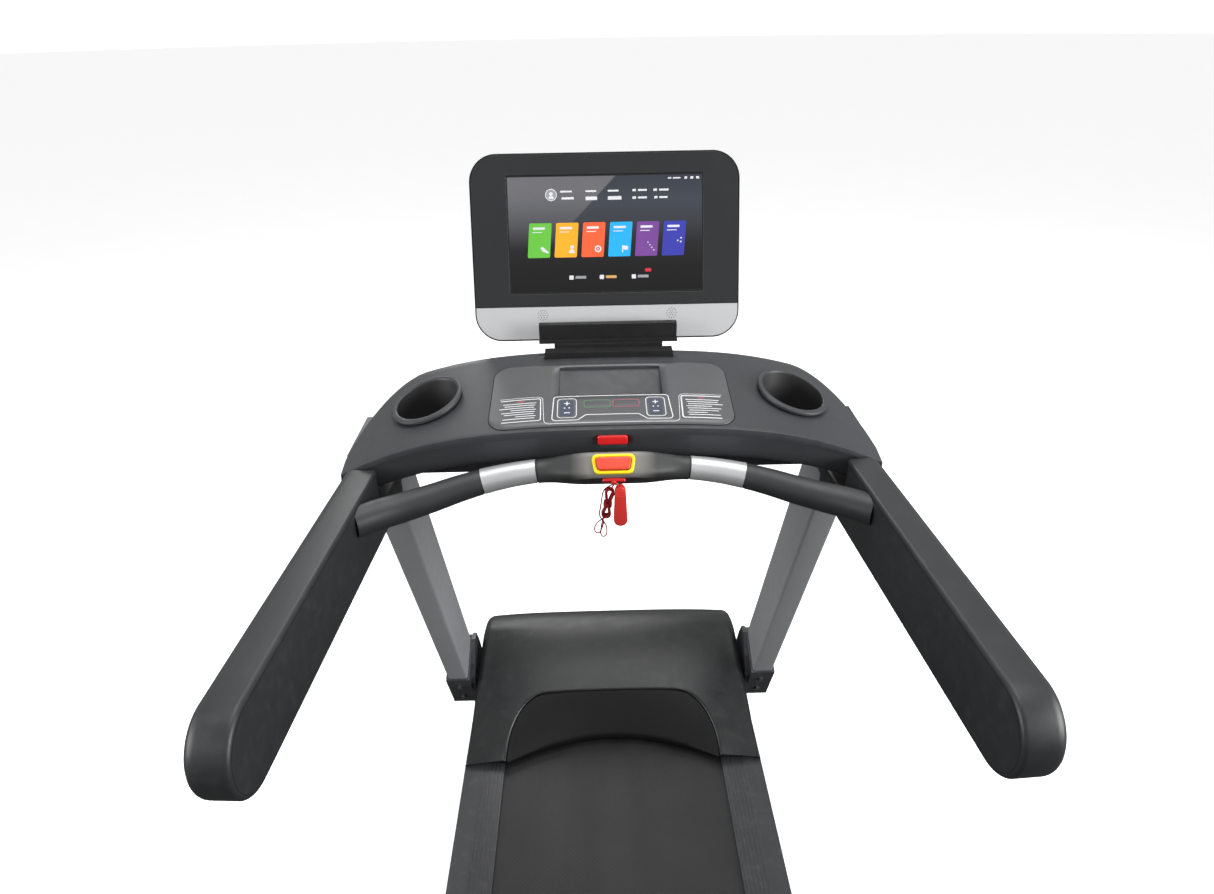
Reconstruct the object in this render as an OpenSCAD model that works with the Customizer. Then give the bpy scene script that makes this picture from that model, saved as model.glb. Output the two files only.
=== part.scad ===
// Motorised treadmill for a gym: deck, uprights, console, screen and handrails.
// X is to the user's right, +Y points to the motor end, Z is up; the floor is Z = 0.

/* [Deck] */
// Length of the machine, front to back
base_l = 2010; // [1900:10:2200]
// Width over the two foot rails
deck_w = 715; // [700:1:725]
// Width of belt that shows between the foot rails
belt_w = 520; // [500:1:525]
// Height of the foot rails' top face
deck_z = 185; // [183:1:187]
// Thickness of the running belt
belt_t = 3; // [2:0.1:3.5]
// Outside diameter of both rollers, belt not counted
roller_d = 84; // [80:1:86]

/* [Hood] */
// Height of the hood at its crest
hood_z = 338; // [330:1:350]
// Wall of the hood and of the other moulded covers
wall = 4; // [3:0.5:5]

/* [Uprights and arms] */
// Lean of the uprights from vertical, degrees
lean = 26.5; // [24:0.5:28]
// Width of an upright's steel tube
tube_w = 50; // [45:1:52]
// Depth of an upright's steel tube
tube_d = 115; // [100:1:120]
// Height of the arms' middle line
arm_z = 1154; // [1140:1:1160]
// Height of an arm, top edge to bottom edge
arm_h = 112; // [100:1:116]
// Thickness of an arm
arm_t = 50; // [44:1:52]

/* [Console] */
// Height of the console's front lip on the middle line
lip_z = 1270; // [1262:1:1278]
// Half width of the console at its front corners
console_w = 404; // [396:1:408]
// Diameter of a cup holder's hole
cup_d = 94; // [80:1:94]
// Depth of a cup holder
cup_h = 60; // [50:1:60]

/* [Screen] */
// Width of the screen housing
screen_w = 442; // [420:1:460]
// Height of the screen housing
screen_h = 302; // [290:1:310]
// Backward lean of the screen at rest, degrees
screen_lean = 17; // [14:1:20]

/* [Motion] */
// Turn of the incline frame at full incline, degrees
lift_turn = 25; // [20:1:25]
// Travel of the stop button
stop_travel = 4; // [3:0.5:4]

/* [Hidden] */

$fn = 64;
gap = 0.3;                      // space between pieces that move past each other
fit = 0.05;                     // radial clearance of a running fit
eps = 0.01;
steel = "#3a3c3f";
dark = "#2b2c2e";

// Deck, in the YZ plane
rear_y = -base_l / 2;
front_y = base_l / 2;
half_w = deck_w / 2;
roller_r = roller_d / 2;
belt_top = deck_z - 6;          // top face of the running belt
roller_z = belt_top - belt_t - roller_r;
roller_front_y = 690;
roller_rear_y = rear_y + 60;
belt_half = belt_w / 2 + 10;    // the belt runs on under the foot rails
rail_x = 300;                   // inner face of a frame rail
rail_w = 40;
rail_z = 62;
rail_h = 100;
rail_top = rail_z + rail_h;
rail_rear_y = rear_y + 50;
rail_front_y = front_y - 20;
plate_t = 3.5;                  // foot rail's top plate
cross_z = 104;
cross_h = 28;
board_t = 22;
board_z = belt_top - belt_t - board_t;
axle_r = 8.5;
foot_x = rail_x + rail_w / 2;
foot_y = rear_y + 125;
side_rail_rear_y = rear_y + 80;
side_rail_front_y = 700;

// Drive
motor_y = 885;
motor_z = 170;
motor_r = 62;
pulley_x = -296;
pulley_w = 12;
big_pulley_r = 42;
small_pulley_r = 16;            // 42 / 16 = 2.625 turns of the motor to one of the roller
shaft_r = 10;

// Incline
pivot_y = 600;
pivot_z = 36;
pin_r = 12;
lift_y = 790;
lift_x = 170;
wheel_y = 940;
wheel_r = 30;
stroke = (lift_y - pivot_y) * sin(lift_turn);

// Uprights
upright_x = 391;
upright_y0 = 874;               // where the upright's middle line is at rail_top
upright_top = 1165;
shoe_l = 172;                   // shoe's length along the upright
bolt_zs = [64, 130];            // bolts through shoe and upright, along the upright

// Arms: they spread outwards to the rear
arm_rear_y = -327;
arm_front_y = 300;
arm_spread = 3.64;
arm_face_x = 350;               // inner face at arm_face_y
arm_face_y = 145;
arm_step_y = 47;                // where an arm steps down, in its own frame
arm_step_z = -4;

// Console surface
lip_y = 188;
top_rise = 0.2;
side_drop = 77;
rear_edge = 205;
corner_start = 300;
skirt_h = 52;
skin = 4;

// Handlebar's middle line, from its left end to its right end, and its radius there
bar_half = [[352, 100, 1182, 22], [326, 117, 1182, 22], [300, 130, 1183, 21.5],
  [260, 144, 1189, 20.5], [225, 155, 1196, 19.5], [189, 163, 1203, 18.5],
  [150, 167, 1210, 17.5], [111, 168.6, 1215, 17], [80, 168.4, 1217, 17], [44, 168, 1217, 17]];
pod_y = 168;
pod_z = 1217;
pod_lean = 45;

// Stop pod, in its own frame
pod_face = 32;                  // its top face above the bar's middle line
pod_low = -21;                  // its edges on the user's and on the far side
pod_high = 18;
ring_mid = -3;                  // middle of the yellow ring
key_z = 20.5;                   // middle of the key's socket

// Screen pivot, in the screen's own frame
screen_y = 447;
screen_z = 1311;
hinge_y = 24;
hinge_z = -14;
screen_r = 45;
band_h = 56;
housing_d = 34;

// Lanyard: 2 mm cord
cord_r = 1;
// From the key to the hank, and from the hank up to the clip
lanyard_route = [[0, 134, 1211.6], [-0.4, 132.6, 1210.2], [-1.6, 132.2, 1208.2],
  [-3.2, 133.2, 1206], [-4.6, 136, 1203.4], [-5.4, 140, 1201], [-5.6, 144.4, 1198.6], [-5.6, 148, 1195.4]];
clip_route = [[-3.8, 150, 1194.6], [-1.8, 150.2, 1198], [1.2, 150, 1200.2], [4.4, 149, 1200.9],
  [7.2, 147, 1200.7], [8.7, 145, 1200.3], [9, 143, 1200]];
hank = [-8.8, 149.8, 1171];     // middle of the hank
hank_l = 50;
hank_lean = 9;                  // turn of the hank out of the upright
clip_x = 9;
clip_y = 139;
clip_z = 1174;
clip_half = 23;                 // from the clip's middle to where its round ends start
clip_gap = 4;                   // between the clip's halves
clip_pin_z = clip_z + 12;

// ---------- shared shapes ----------

function zt(x, y) = lip_z + top_rise * (y - lip_y) - side_drop * pow(abs(x) / 410, 3);
function lip(x) = lip_y + 12 * pow(x / console_w, 2);
function round_off(x, r) = abs(x) <= corner_start ? 1
  : pow(1 - pow((abs(x) - corner_start) / (r - corner_start), 1.8), 0.5556);
function rear(x, r = 408) = lip_y + rear_edge * round_off(x, r);

// Joins equal rings of points into one closed solid
module loft(rings) {
  n = len(rings[0]);
  m = len(rings);
  points = [for (ring = rings) for (p = ring) p];
  sides = [for (i = [0:m - 2]) for (j = [0:n - 1]) let (k = (j + 1) % n)
    each [[i * n + j, i * n + k, (i + 1) * n + k], [i * n + j, (i + 1) * n + k, (i + 1) * n + j]]];
  caps = [[for (j = [n - 1:-1:0]) j], [for (j = [0:n - 1]) (m - 1) * n + j]];
  polyhedron(points, concat(sides, caps), convexity = 6);
}

// A sheet of real thickness between two grids of points. Cells where hole(i, j) is true
// are left out, and first and last say which end rows are closed with a flat wall.
module sheet(outer, inner, hole, first = false, last = false) {
  m = len(outer) - 1;
  n = len(outer[0]) - 1;
  c = n + 1;
  b = (m + 1) * c;
  solid = function(i, j) i >= 0 && i < m && j >= 0 && j < n && !hole(i, j);
  cells = [for (i = [0:m - 1]) for (j = [0:n - 1]) if (solid(i, j))
    let (p = i * c + j, q = p + 1, r = q + c, t = p + c) each concat(
      [[p, q, r], [p, r, t], [b + r, b + q, b + p], [b + t, b + r, b + p]],
      solid(i - 1, j) || (i == 0 && first) ? [] : [[q, p, b + p], [q, b + p, b + q]],
      solid(i + 1, j) || (i == m - 1 && last) ? [] : [[t, r, b + r], [t, b + r, b + t]],
      solid(i, j - 1) ? [] : [[p, t, b + t], [p, b + t, b + p]],
      solid(i, j + 1) ? [] : [[r, q, b + q], [r, b + q, b + r]])];
  ends = concat(
    first ? [[for (j = [n:-1:0]) j], [for (j = [0:n]) b + j], [n, 0, b, b + n]] : [],
    last ? [[for (j = [0:n]) m * c + j], [for (j = [n:-1:0]) b + m * c + j],
      [m * c, m * c + n, b + m * c + n, b + m * c]] : []);
  points = [for (grid = [outer, inner]) for (row = grid) for (p = row) p];
  polyhedron(points, concat(cells, ends), convexity = 8);
}

// A rectangle with round corners, on the XY plane, centred
module plate(w, h, r) {
  square([w - 2 * r, h], center = true);
  square([w, h - 2 * r], center = true);
  for (x = [-1, 1], y = [-1, 1]) translate([x * (w / 2 - r), y * (h / 2 - r)]) circle(r);
}

// A bar along X from x0 to x1
module rod(x0, x1, y, z, r) {
  translate([x0, y, z]) rotate([0, 90, 0]) cylinder(h = x1 - x0, r = r);
}

module block(x0, x1, y0, y1, z0, z1) {
  translate([x0, y0, z0]) cube([x1 - x0, y1 - y0, z1 - z0]);
}

// Shows the children on the right or, mirrored, on the left
module side(s) {
  if (s > 0) children();
  else mirror([1, 0, 0]) children();
}

// ---------- deck ----------

module frame_rail(s) {
  color(steel) side(s) difference() {
    union() {
      block(rail_x, rail_x + rail_w, rail_rear_y, rail_front_y, rail_z, rail_top);
      // Lug that carries the incline frame's pivot
      block(rail_x, rail_x + 10, pivot_y - 22, pivot_y + 22, 14, rail_z + 1);
    }
    block(rail_x + 3, rail_x + rail_w - 3, rail_rear_y - 1, rail_front_y + 1,
      rail_z + 3, rail_top - 3);
    for (y = [roller_front_y, roller_rear_y])
      rod(rail_x - 1, rail_x + rail_w + 1, y, roller_z, axle_r + fit);
    rod(rail_x - 1, rail_x + 11, pivot_y, pivot_z, shaft_r + fit);
    translate([foot_x, foot_y, rail_z - 1]) cylinder(h = 5, r = 6 + gap);
  }
}

module cross_members() {
  color(steel) for (y = [-760, -300, 160, 560]) difference() {
    block(-rail_x, rail_x, y - 25, y + 25, cross_z, cross_z + cross_h);
    block(-rail_x - 1, rail_x + 1, y - 22, y + 22, cross_z + 3, cross_z + cross_h - 3);
  }
}

module deck_board() {
  color("#6b5a45")
    block(-290, 290, roller_rear_y + roller_r + 8, roller_front_y - roller_r - 8,
      board_z, board_z + board_t);
}

module deck_cushions() {
  color("#4d4d50") for (y = [-760, -300, 160, 560], x = [-240, 240])
    translate([x, y, cross_z + cross_h]) {
      cylinder(h = board_z - cross_z - cross_h, r = 18);
    }
}

module belt_outline(r) {
  translate([roller_rear_y, -r]) square([roller_front_y - roller_rear_y, 2 * r]);
  for (y = [roller_rear_y, roller_front_y]) translate([y, 0]) circle(r);
}

// Turns a shape drawn as (y, z) so that its thickness runs along X, from x0
module across(x0, t) {
  translate([x0, 0, 0]) rotate([90, 0, 90]) linear_extrude(t, convexity = 6) children();
}

module running_belt() {
  color("#1f2022") translate([0, 0, roller_z]) across(-belt_half, 2 * belt_half)
    difference() {
      belt_outline(roller_r + belt_t);
      belt_outline(roller_r);
    }
}

module side_rail(s) {
  x0 = belt_w / 2 + 2;
  plate_z = deck_z - plate_t;
  l = side_rail_front_y - side_rail_rear_y;
  color("#46484b") side(s) translate([0, side_rail_front_y, 0]) rotate([90, 0, 0])
    linear_extrude(l, convexity = 4) {
      translate([x0, plate_z]) square([half_w - x0, plate_t]);
      translate([half_w - plate_t, 75]) square([plate_t, deck_z - 75]);
      for (x = [rail_x, rail_x + rail_w - 3])
        translate([x, rail_top]) square([3, plate_z - rail_top]);
      for (i = [0:5]) translate([x0 + 5 + 9 * i, deck_z - eps]) square([4.5, 1 + eps]);
    }
}

module end_cap(s) {
  x0 = belt_w / 2 + 2;
  color(dark) side(s) difference() {
    union() {
      block(x0, half_w, rear_y + 20, side_rail_rear_y, 40, deck_z + 2);
      block(x0, half_w - 20, rear_y, rear_y + 21, 40, deck_z - 18);
      block(x0, half_w, rear_y + 20, rear_y + 21, 40, deck_z + 2);
      translate([half_w - 20, rear_y + 20, 40]) cylinder(h = deck_z - 58, r = 20);
      rod(x0, half_w - 20, rear_y + 20, deck_z - 18, 20);
      translate([half_w - 20, rear_y + 20, deck_z - 18]) sphere(20);
    }
    block(x0 + 20, half_w - wall, rear_y + wall + 2, side_rail_rear_y + 1, 39, deck_z - wall);
    // The belt turns round the rear roller here
    rod(x0 - 1, x0 + 21, roller_rear_y, roller_z, roller_r + belt_t + 3);
    block(x0 - 1, x0 + 21, roller_rear_y, side_rail_rear_y + 1,
      roller_z - roller_r - belt_t - 3, roller_z + roller_r + belt_t + 2.5);
    // Way in for the belt adjuster's key
    translate([rail_x + rail_w / 2, rear_y - 1, roller_z]) rotate([-90, 0, 0])
      cylinder(h = 12, r = 11);
  }
}

module rear_foot(s) {
  color("#202123") side(s) translate([foot_x, foot_y, 0]) {
    rotate_extrude() polygon([[0, 0], [24, 0], [26, 3], [26, 9], [20, 14], [0, 14]]);
    cylinder(h = 24, r = 11, $fn = 6);
    cylinder(h = 120, r = 6);
  }
}

module belt_adjusters() {
  color("#9a9ca0") for (s = [-1, 1])
    translate([s * foot_x, rail_rear_y - 22, roller_z]) rotate([-90, 0, 0]) {
      cylinder(h = 8, r = 9, $fn = 6);
      cylinder(h = 23.4, r = 5);
    }
}

module roller_axles() {
  color("#b4b6b9") for (y = [roller_front_y, roller_rear_y])
    rod(-rail_x - rail_w - 5, rail_x + rail_w + 5, y, roller_z, axle_r);
}

module roller(y) {
  r = roller_r - gap;
  difference() {
    rod(-278, 278, y, roller_z, r);
    rod(-254, 254, y, roller_z, r - 4);
    rod(-279, 279, y, roller_z, axle_r + fit);
  }
}

module front_roller() {
  color("#8d9094") {
    roller(roller_front_y);
    difference() {
      union() {
        rod(pulley_x, pulley_x + pulley_w, roller_front_y, roller_z, big_pulley_r);
        rod(pulley_x, -277, roller_front_y, roller_z, 24);
      }
      rod(-300, -270, roller_front_y, roller_z, axle_r + fit);
    }
  }
}

module rear_roller() {
  color("#8d9094") roller(roller_rear_y);
}

// ---------- motor bay ----------

// Half width, middle height, bottom edge and shoulder height of the hood along Y
function hood_w(y) = 357 - 26 * (y - 555) / (front_y - 555);
function hood_mid(y) = y < 890
  ? hood_z - 128 * pow((890 - y) / 335, 1.75)
  : hood_z - 60 * pow((y - 890) / (front_y - 890), 3);
function hood_low(y) = y < side_rail_front_y + 4 ? deck_z + 1.2 : rail_top + 0.2;
function hood_edge(y) = let (u = max(0, (890 - y) / 335))
  max(hood_low(y) + 8, hood_mid(y) - 8 - 16 * u - 22 * sin(180 * min(1, u)));
// Height of the hood at x
function hood_top(x, y) = hood_mid(y) - (hood_mid(y) - hood_edge(y)) * pow(abs(x) / hood_w(y), 3);
// Half width of the portal that the inset closes
portal_y0 = 560;
portal_y1 = 695;
function portal_w(y) = let (u = max(0, min(1, (y - portal_y0) / (portal_y1 - portal_y0))))
  160 + 98 * sqrt(1 - u * u);

// One row of the hood's points, inset by d
function hood_row(y, d) = let (w = hood_w(y) - d, e = hood_edge(y) - d, low = hood_low(y),
    r = min(22, (e - low) * 0.7), p = portal_w(y), m = (w - r + p) / 2,
    half = concat([[w, low]], [for (a = [0:22.5:90]) [w - r + r * cos(a), e - r + r * sin(a)]],
      [for (x = [m, p, p / 2]) [x, hood_top(x, y) - d]]))
  concat([for (q = half) [q[0], y, q[1]]], [[0, y, hood_top(0, y) - d]],
    [for (i = [len(half) - 1:-1:0]) [-half[i][0], y, half[i][1]]]);

hood_ys = [555, 575, 600, 625, 650, 670, 685, portal_y1, 703.9, 704.1, 740, 780, 820, 860,
  890, 920, 950, 972, 990, front_y];

module motor_hood() {
  color("#303134") sheet([for (y = hood_ys) hood_row(y, 0)],
    [for (y = hood_ys) hood_row(min(y, front_y - wall), wall)],
    function(i, j) hood_ys[i] < portal_y1 && j >= 8 && j <= 11, last = true);
}

// A point of the inset: t runs across from -1 to 1, v from the lower edge up to the portal
function inset_point(t, v, d) = let (low = 630 - 75 * t * t, y = low + max(0, v) * (697 - low),
    x = t * (portal_w(y) - 1.5), dish = 5 + 46 * (1 - t * t) * pow(1 - max(0, v), 1.2))
  v < 0 ? [x, low + 4 + d * 0.5, belt_top + 7 + abs(t) * 1.5] : [x, y + d * 0.5, hood_top(x, y) - dish - d];

module hood_inset() {
  color("#1c1d1f") {
    ts = [for (i = [-6:6]) i / 6];
    vs = [-1, 0, 0.15, 0.3, 0.5, 0.7, 0.85, 1];
    sheet([for (v = vs) [for (t = ts) inset_point(-t, v, 0)]],
      [for (v = vs) [for (t = ts) inset_point(-t, v, 3)]], function(i, j) false);
  }
}

module motor_tray() {
  color(steel) difference() {
    union() {
      block(-rail_x, rail_x, side_rail_front_y, rail_front_y, rail_z, rail_z + 4);
      block(-rail_x - rail_w, rail_x + rail_w, rail_front_y, rail_front_y + 4, rail_z, rail_top);
    }
    translate([lift_x, lift_y, rail_z - 1]) cylinder(h = 6, r = 19);
    // Mains inlet and switch openings in the front plate
    block(-262, -232, rail_front_y - 1, rail_front_y + 5, 98, 122);
    block(-218, -198, rail_front_y - 1, rail_front_y + 5, 96, 124);
  }
}

module drive_motor() {
  color("#5a5d61") difference() {
    union() {
      rod(-225, 25, motor_y, motor_z, motor_r);
      rod(-240, -224, motor_y, motor_z, 34);
      block(-190, -10, motor_y - 48, motor_y + 48, rail_z + 4, 125);
    }
    rod(-241, 26, motor_y, motor_z, shaft_r + gap);
  }
}

module motor_shaft() {
  color("#a2a4a8") {
    rod(pulley_x - 1, 52, motor_y, motor_z, shaft_r);
    rod(pulley_x, pulley_x + pulley_w, motor_y, motor_z, small_pulley_r);
    difference() {
      rod(30, 48, motor_y, motor_z, 58);
      for (a = [0:60:300])
        rod(29, 49, motor_y + 38 * cos(a), motor_z + 38 * sin(a), 11);
    }
  }
}

module belt_loop(grow) {
  hull() {
    translate([roller_front_y, roller_z]) circle(big_pulley_r + grow);
    translate([motor_y, motor_z]) circle(small_pulley_r + grow);
  }
}

module drive_belt() {
  color("#1a1a1b") across(pulley_x, pulley_w) difference() {
    belt_loop(gap + 3.5);
    belt_loop(gap);
  }
}

module motor_controller() {
  color("#3f6b4d") {
    block(60, 270, 850, 975, rail_z + 4, rail_z + 10);
    for (y = [862:12:960]) block(70, 150, y, y + 4, rail_z + 9, rail_z + 50);
    block(175, 255, 862, 962, rail_z + 9, rail_z + 34);
  }
}

module power_switch() {
  // Rocker that tips about its own middle line
  color("#b3261e") translate([-208, rail_front_y + 3, 110]) rotate([90, 0, 90])
    translate([0, 0, -8]) linear_extrude(16)
      polygon([[-4, -11], [2, -12], [4, -11], [2.4, 0], [3, 11.5], [-4, 11]]);
  color("#b3261e") rod(-217.4, -198.6, rail_front_y + 3, 110, 1.5);
}

module lift_motor() {
  color("#4b4e52") difference() {
    union() {
      translate([lift_x, lift_y, rail_z + 4]) cylinder(h = 150, r = 30);
      translate([lift_x + 60, lift_y, rail_z + 4]) cylinder(h = 165, r = 34);
      block(lift_x, lift_x + 60, lift_y - 24, lift_y + 24, rail_z + 12, rail_z + 50);
    }
    translate([lift_x, lift_y, rail_z + 3]) cylinder(h = 145, r = 16 + gap);
  }
}

module lift_tube() {
  color("#c0c2c5") translate([lift_x, lift_y, 0]) difference() {
    union() {
      translate([0, 0, 55]) cylinder(h = 140, r = 16);
      block(-20, 20, -44, 24, pivot_z - 20, 58);
    }
    // The slot lets the cross tube swing on its arc as this tube goes straight down
    for (y = [-24, 2]) rod(-21, 21, y, pivot_z, pin_r + 1.8);
    block(-21, 21, -24, 2, pivot_z - pin_r - 1.8, pivot_z + pin_r + 1.8);
  }
}

module lift_frame() {
  color(steel) {
    for (s = [-1, 1]) side(s) {
      block(268, 292, pivot_y, wheel_y + 12, pivot_z - 12, pivot_z + 12);
      rod(285, rail_x + 14, pivot_y, pivot_z, shaft_r);
      rod(291, 332, wheel_y, wheel_r, 7);
    }
    rod(-292, 292, pivot_y, pivot_z, 14);
    rod(-270, 270, lift_y, pivot_z, pin_r);
    rod(-270, 270, wheel_y - 40, pivot_z, pin_r);
  }
}

module wheel(s) {
  color("#232426") side(s) translate([300, wheel_y, wheel_r]) rotate([0, 90, 0])
    difference() {
      rotate_extrude() polygon([[0, 0], [26, 0], [wheel_r, 4], [wheel_r, 24], [26, 28], [0, 28]]);
      translate([0, 0, -1]) cylinder(h = 30, r = 7 + fit);
      for (z = [-1, 24]) translate([0, 0, z]) difference() {
        cylinder(h = 5, r = 21);
        translate([0, 0, -1]) cylinder(h = 7, r = 12);
      }
    }
}

// ---------- uprights ----------

// Local frame of an upright: its foot at the origin, its length along Z
module on_upright(s) {
  side(s) translate([upright_x, upright_y0, rail_top]) rotate([lean, 0, 0]) children();
}

module upright(s) {
  color("#55585c") difference() {
    on_upright(s) difference() {
      translate([-tube_w / 2, -tube_d / 2, -60]) cube([tube_w, tube_d, 1300]);
      translate([-tube_w / 2 + 3, -tube_d / 2 + 3, -61]) cube([tube_w - 6, tube_d - 6, 1302]);
      for (z = bolt_zs) translate([0, 0, z]) rotate([90, 0, 0])
        cylinder(h = 200, r = 5.2, center = true);
    }
    block(-500, 500, 0, 1400, upright_top, 1500);
    block(-500, 500, 0, 1400, -100, rail_top + 4);
  }
}

module upright_shoe(s) {
  w = tube_w + 10;
  d = tube_d + 10;
  color("#3b3d40") {
    difference() {
      on_upright(s) difference() {
        translate([-w / 2, -d / 2, -60]) cube([w, d, 60 + shoe_l]);
        translate([-tube_w / 2 - 0.1, -tube_d / 2 - 0.1, -61])
          cube([tube_w + 0.2, tube_d + 0.2, 300]);
        for (z = bolt_zs) translate([0, 0, z]) rotate([90, 0, 0])
          cylinder(h = 200, r = 5.2, center = true);
      }
      block(-500, 500, 0, 1400, -100, rail_top);
    }
    // Floor of the shoe, bracket to the frame rail and the gusset beside the hood
    side(s) {
      block(upright_x - w / 2, upright_x + w / 2, 805, 943, rail_top - 6, rail_top);
      block(rail_x + rail_w, upright_x - w / 2, 790, 950, 80, 150);
      block(352, upright_x - w / 2, 780, 950, 150, rail_top - 6 + eps);
      translate([352, 0, 0]) across(0, 9 - 0.001)
        polygon([[780, 156], [950, 156], [945, 190], [890, 300], [862, 342], [836, 342],
          [790, 300], [772, 250]]);
    }
  }
}

module frame_bolts() {
  color("#8a8c8f") for (s = [-1, 1]) {
    on_upright(s) for (z = bolt_zs, e = [-1, 1])
      translate([0, e * (tube_d / 2 + 5), z]) rotate([-90 * e, 0, 0]) {
        cylinder(h = 6, r = 8, $fn = 6);
        translate([0, 0, -12]) cylinder(h = 12, r = 5.1);
      }
    side(s) for (y = [810, 930]) translate([upright_x - 6, y, 115]) rotate([0, 90, 0]) {
      translate([0, 0, -24]) cylinder(h = 7, r = 9, $fn = 6);
    }
  }
}

// ---------- arms and console frame ----------

// Local frame of an arm: origin on its inner face, X outwards, turned with the spread
module on_arm(s) {
  side(s) translate([arm_face_x, arm_face_y, arm_z]) rotate([0, 0, arm_spread]) children();
}

// Outline of an arm as (y, z), moved in by d. Its front end steps down to pass under the console.
module arm_outline(d) {
  r = arm_h / 2 - d;
  back = arm_rear_y - arm_face_y + arm_h / 2;
  front = arm_front_y - arm_face_y + (d > 0 ? 1 : 0);
  translate([back, 0]) circle(r);
  difference() {
    translate([back, -r]) square([front - back, 2 * r]);
    translate([arm_step_y - d, arm_step_z - d]) square(200);
  }
}

module arm(s) {
  color("#3c3e41") on_arm(s) difference() {
    across(0, arm_t) arm_outline(0);
    across(wall, arm_t - 2 * wall) arm_outline(wall);
    // The handlebar's steel tube comes in here
    translate([0, -47.5, 28]) rotate([0, 90, 0]) cylinder(h = 20, r = 19.5, center = true);
  }
}

// A ring of n points of radius r about bar point i, facing along the bar
function bar_points() = concat([for (p = bar_half) [-p[0], p[1], p[2], p[3]]],
  [for (i = [len(bar_half) - 1:-1:0]) bar_half[i]]);
function unit(v) = v / norm(v);
function xyz(p) = [p[0], p[1], p[2]];
function circle_ring(p, q, c, r, n) = let (d = unit(q - p), u = unit(cross(d, [0, 0, 1])),
  v = cross(u, d)) [for (j = [0:n - 1]) c + r * cos(360 * j / n) * u + r * sin(360 * j / n) * v];
function ring_at(ps, i, r, n) = let (m = len(ps) - 1)
  circle_ring(xyz(ps[max(0, i - 1)]), xyz(ps[min(m, i + 1)]), xyz(ps[i]), r, n);

// A tube of wall from inner radius to outer radius along points, as one closed solid
module pipe(ps, outer, inner, n = 20) {
  m = len(ps);
  rings = concat([for (i = [0:m - 1]) ring_at(ps, i, outer[i], n)],
    [for (i = [m - 1:-1:0]) ring_at(ps, i, inner[i], n)]);
  k = len(rings);
  faces = [for (i = [0:k - 1]) for (j = [0:n - 1]) let (a = i * n, b = ((i + 1) % k) * n, q = (j + 1) % n)
    each [[a + j, b + q, a + q], [a + j, b + j, b + q]]];
  polyhedron([for (ring = rings) for (p = ring) p], faces, convexity = 8);
}

module grip_cover() {
  n = len(bar_half) - 1;
  color("#3a3b3e") for (s = [-1, 1]) side(s) difference() {
    pipe(bar_half, [for (i = [0:n]) bar_half[i][3] - (i >= 5 && i <= 7 ? 1.6 : 0)],
      [for (i = [0:n]) i == 0 ? 15.5 : 14.3]);
    on_arm(1) block(-0.3, 60, -120, 60, -20, 70);
  }
}

module pulse_plates() {
  part = [for (i = [5:7]) bar_half[i]];
  color("#c9cbcd") for (s = [-1, 1]) side(s)
    pipe(part, [for (p = part) p[3] + 0.3], [for (p = part) p[3] - 1.5]);
}

// Steel tube inside an arm
module arm_tube() {
  front = arm_front_y - arm_face_y;
  difference() {
    block(10, 40, -430, front, -27, 27);
    block(13, 37, -427, front - 3, -24, 24);
    // Lower where it passes under the console
    block(9, 41, arm_step_y - 5, front + 1, arm_step_z - 5, 28);
  }
}

module console_frame() {
  beam_y = 345;
  post_top = 1210;
  tube_end = [[364, 92, 1182]];
  tube_points = concat([[-364, 92, 1182]], bar_points(), tube_end);
  color("#6b6e72") {
    // Beam between the uprights
    difference() {
      block(-upright_x + tube_w / 2, upright_x - tube_w / 2, beam_y, beam_y + 50, 1118, 1158);
      block(-400, 400, beam_y + 3, beam_y + 47, 1121, 1155);
    }
    for (s = [-1, 1]) side(s) {
      block(190, 230, beam_y + 5, beam_y + 45, 1158 - eps, post_top);
      // Joins the arm's tube, which is lower inside the arm, to the upright
      block(350, 366, 296, 303, 1127, 1145);
      block(350, 366, 302, beam_y + 50, 1127, 1158);
      on_arm(1) arm_tube();
    }
    // Handlebar tube
    loft([for (i = [0:len(tube_points) - 1]) ring_at(tube_points, i, 14, 20)]);
  }
}

// ---------- console ----------

rest_w = 158;
rest_y0 = 272;
rest_y1 = 347;
slot_w = 208;
slot_y0 = 374;
slot_y1 = 382;
key_w = 44.8;
xs_half = [0, key_w / 2, rest_w / 2, slot_w / 2, 150, 190, 225, 260, 300, 320, 340, 356,
  370, 382, 392];
function console_xs(w) = concat([-w], [for (i = [len(xs_half) - 1:-1:1]) -xs_half[i]],
  xs_half, [w]);
// Y of a line across the console; it bends with the outline only towards the corners
function along(y, a, b, x) = abs(x) < 120 ? y : a + (y - lip_y) / rear_edge * (b - a);
top_ys = [230, rest_y0, 310, rest_y1, slot_y0, slot_y1];

// Section of the lid at x, inset by e and down by d
function lid_row(x, e, d) = let (a = lip(x) + e, b = rear(x) - e)
  concat([[x, a, zt(x, a) - 9], [x, a, zt(x, a) - d]],
    [for (y = top_ys) let (q = along(y, a, b, x)) [x, q, zt(x, q) - d]],
    [[x, b, zt(x, b) - d], [x, b, zt(x, b) - 9]]);

// Section of the tray under the lid
function tray_row(x, e) = let (a = lip(x) + 2 + e, b = rear(x) - 2 - e, mid = (a + b) / 2,
    d = skirt_h - e, t = 10, belly = 30 * (1 - pow(x / console_w, 4)),
    // The underside hangs lower behind the cup holders, so that their floors have room
    sag = 18 * max(0, 1 - pow(x / 350, 8)), back = b - 34, f = (back - mid) / (b - t / 2 - mid))
  [[x, a, zt(x, a) - 9.2], [x, a + t * 0.4, zt(x, a) - 26.4], [x, a + t, zt(x, a) - d],
   [x, mid, zt(x, mid) - d - belly],
   [x, back, (1 - f) * (zt(x, mid) - belly) + f * zt(x, b) - d - sag],
   [x, b - t / 2, zt(x, b) - d], [x, b, zt(x, b) - 9.2]];

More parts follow.
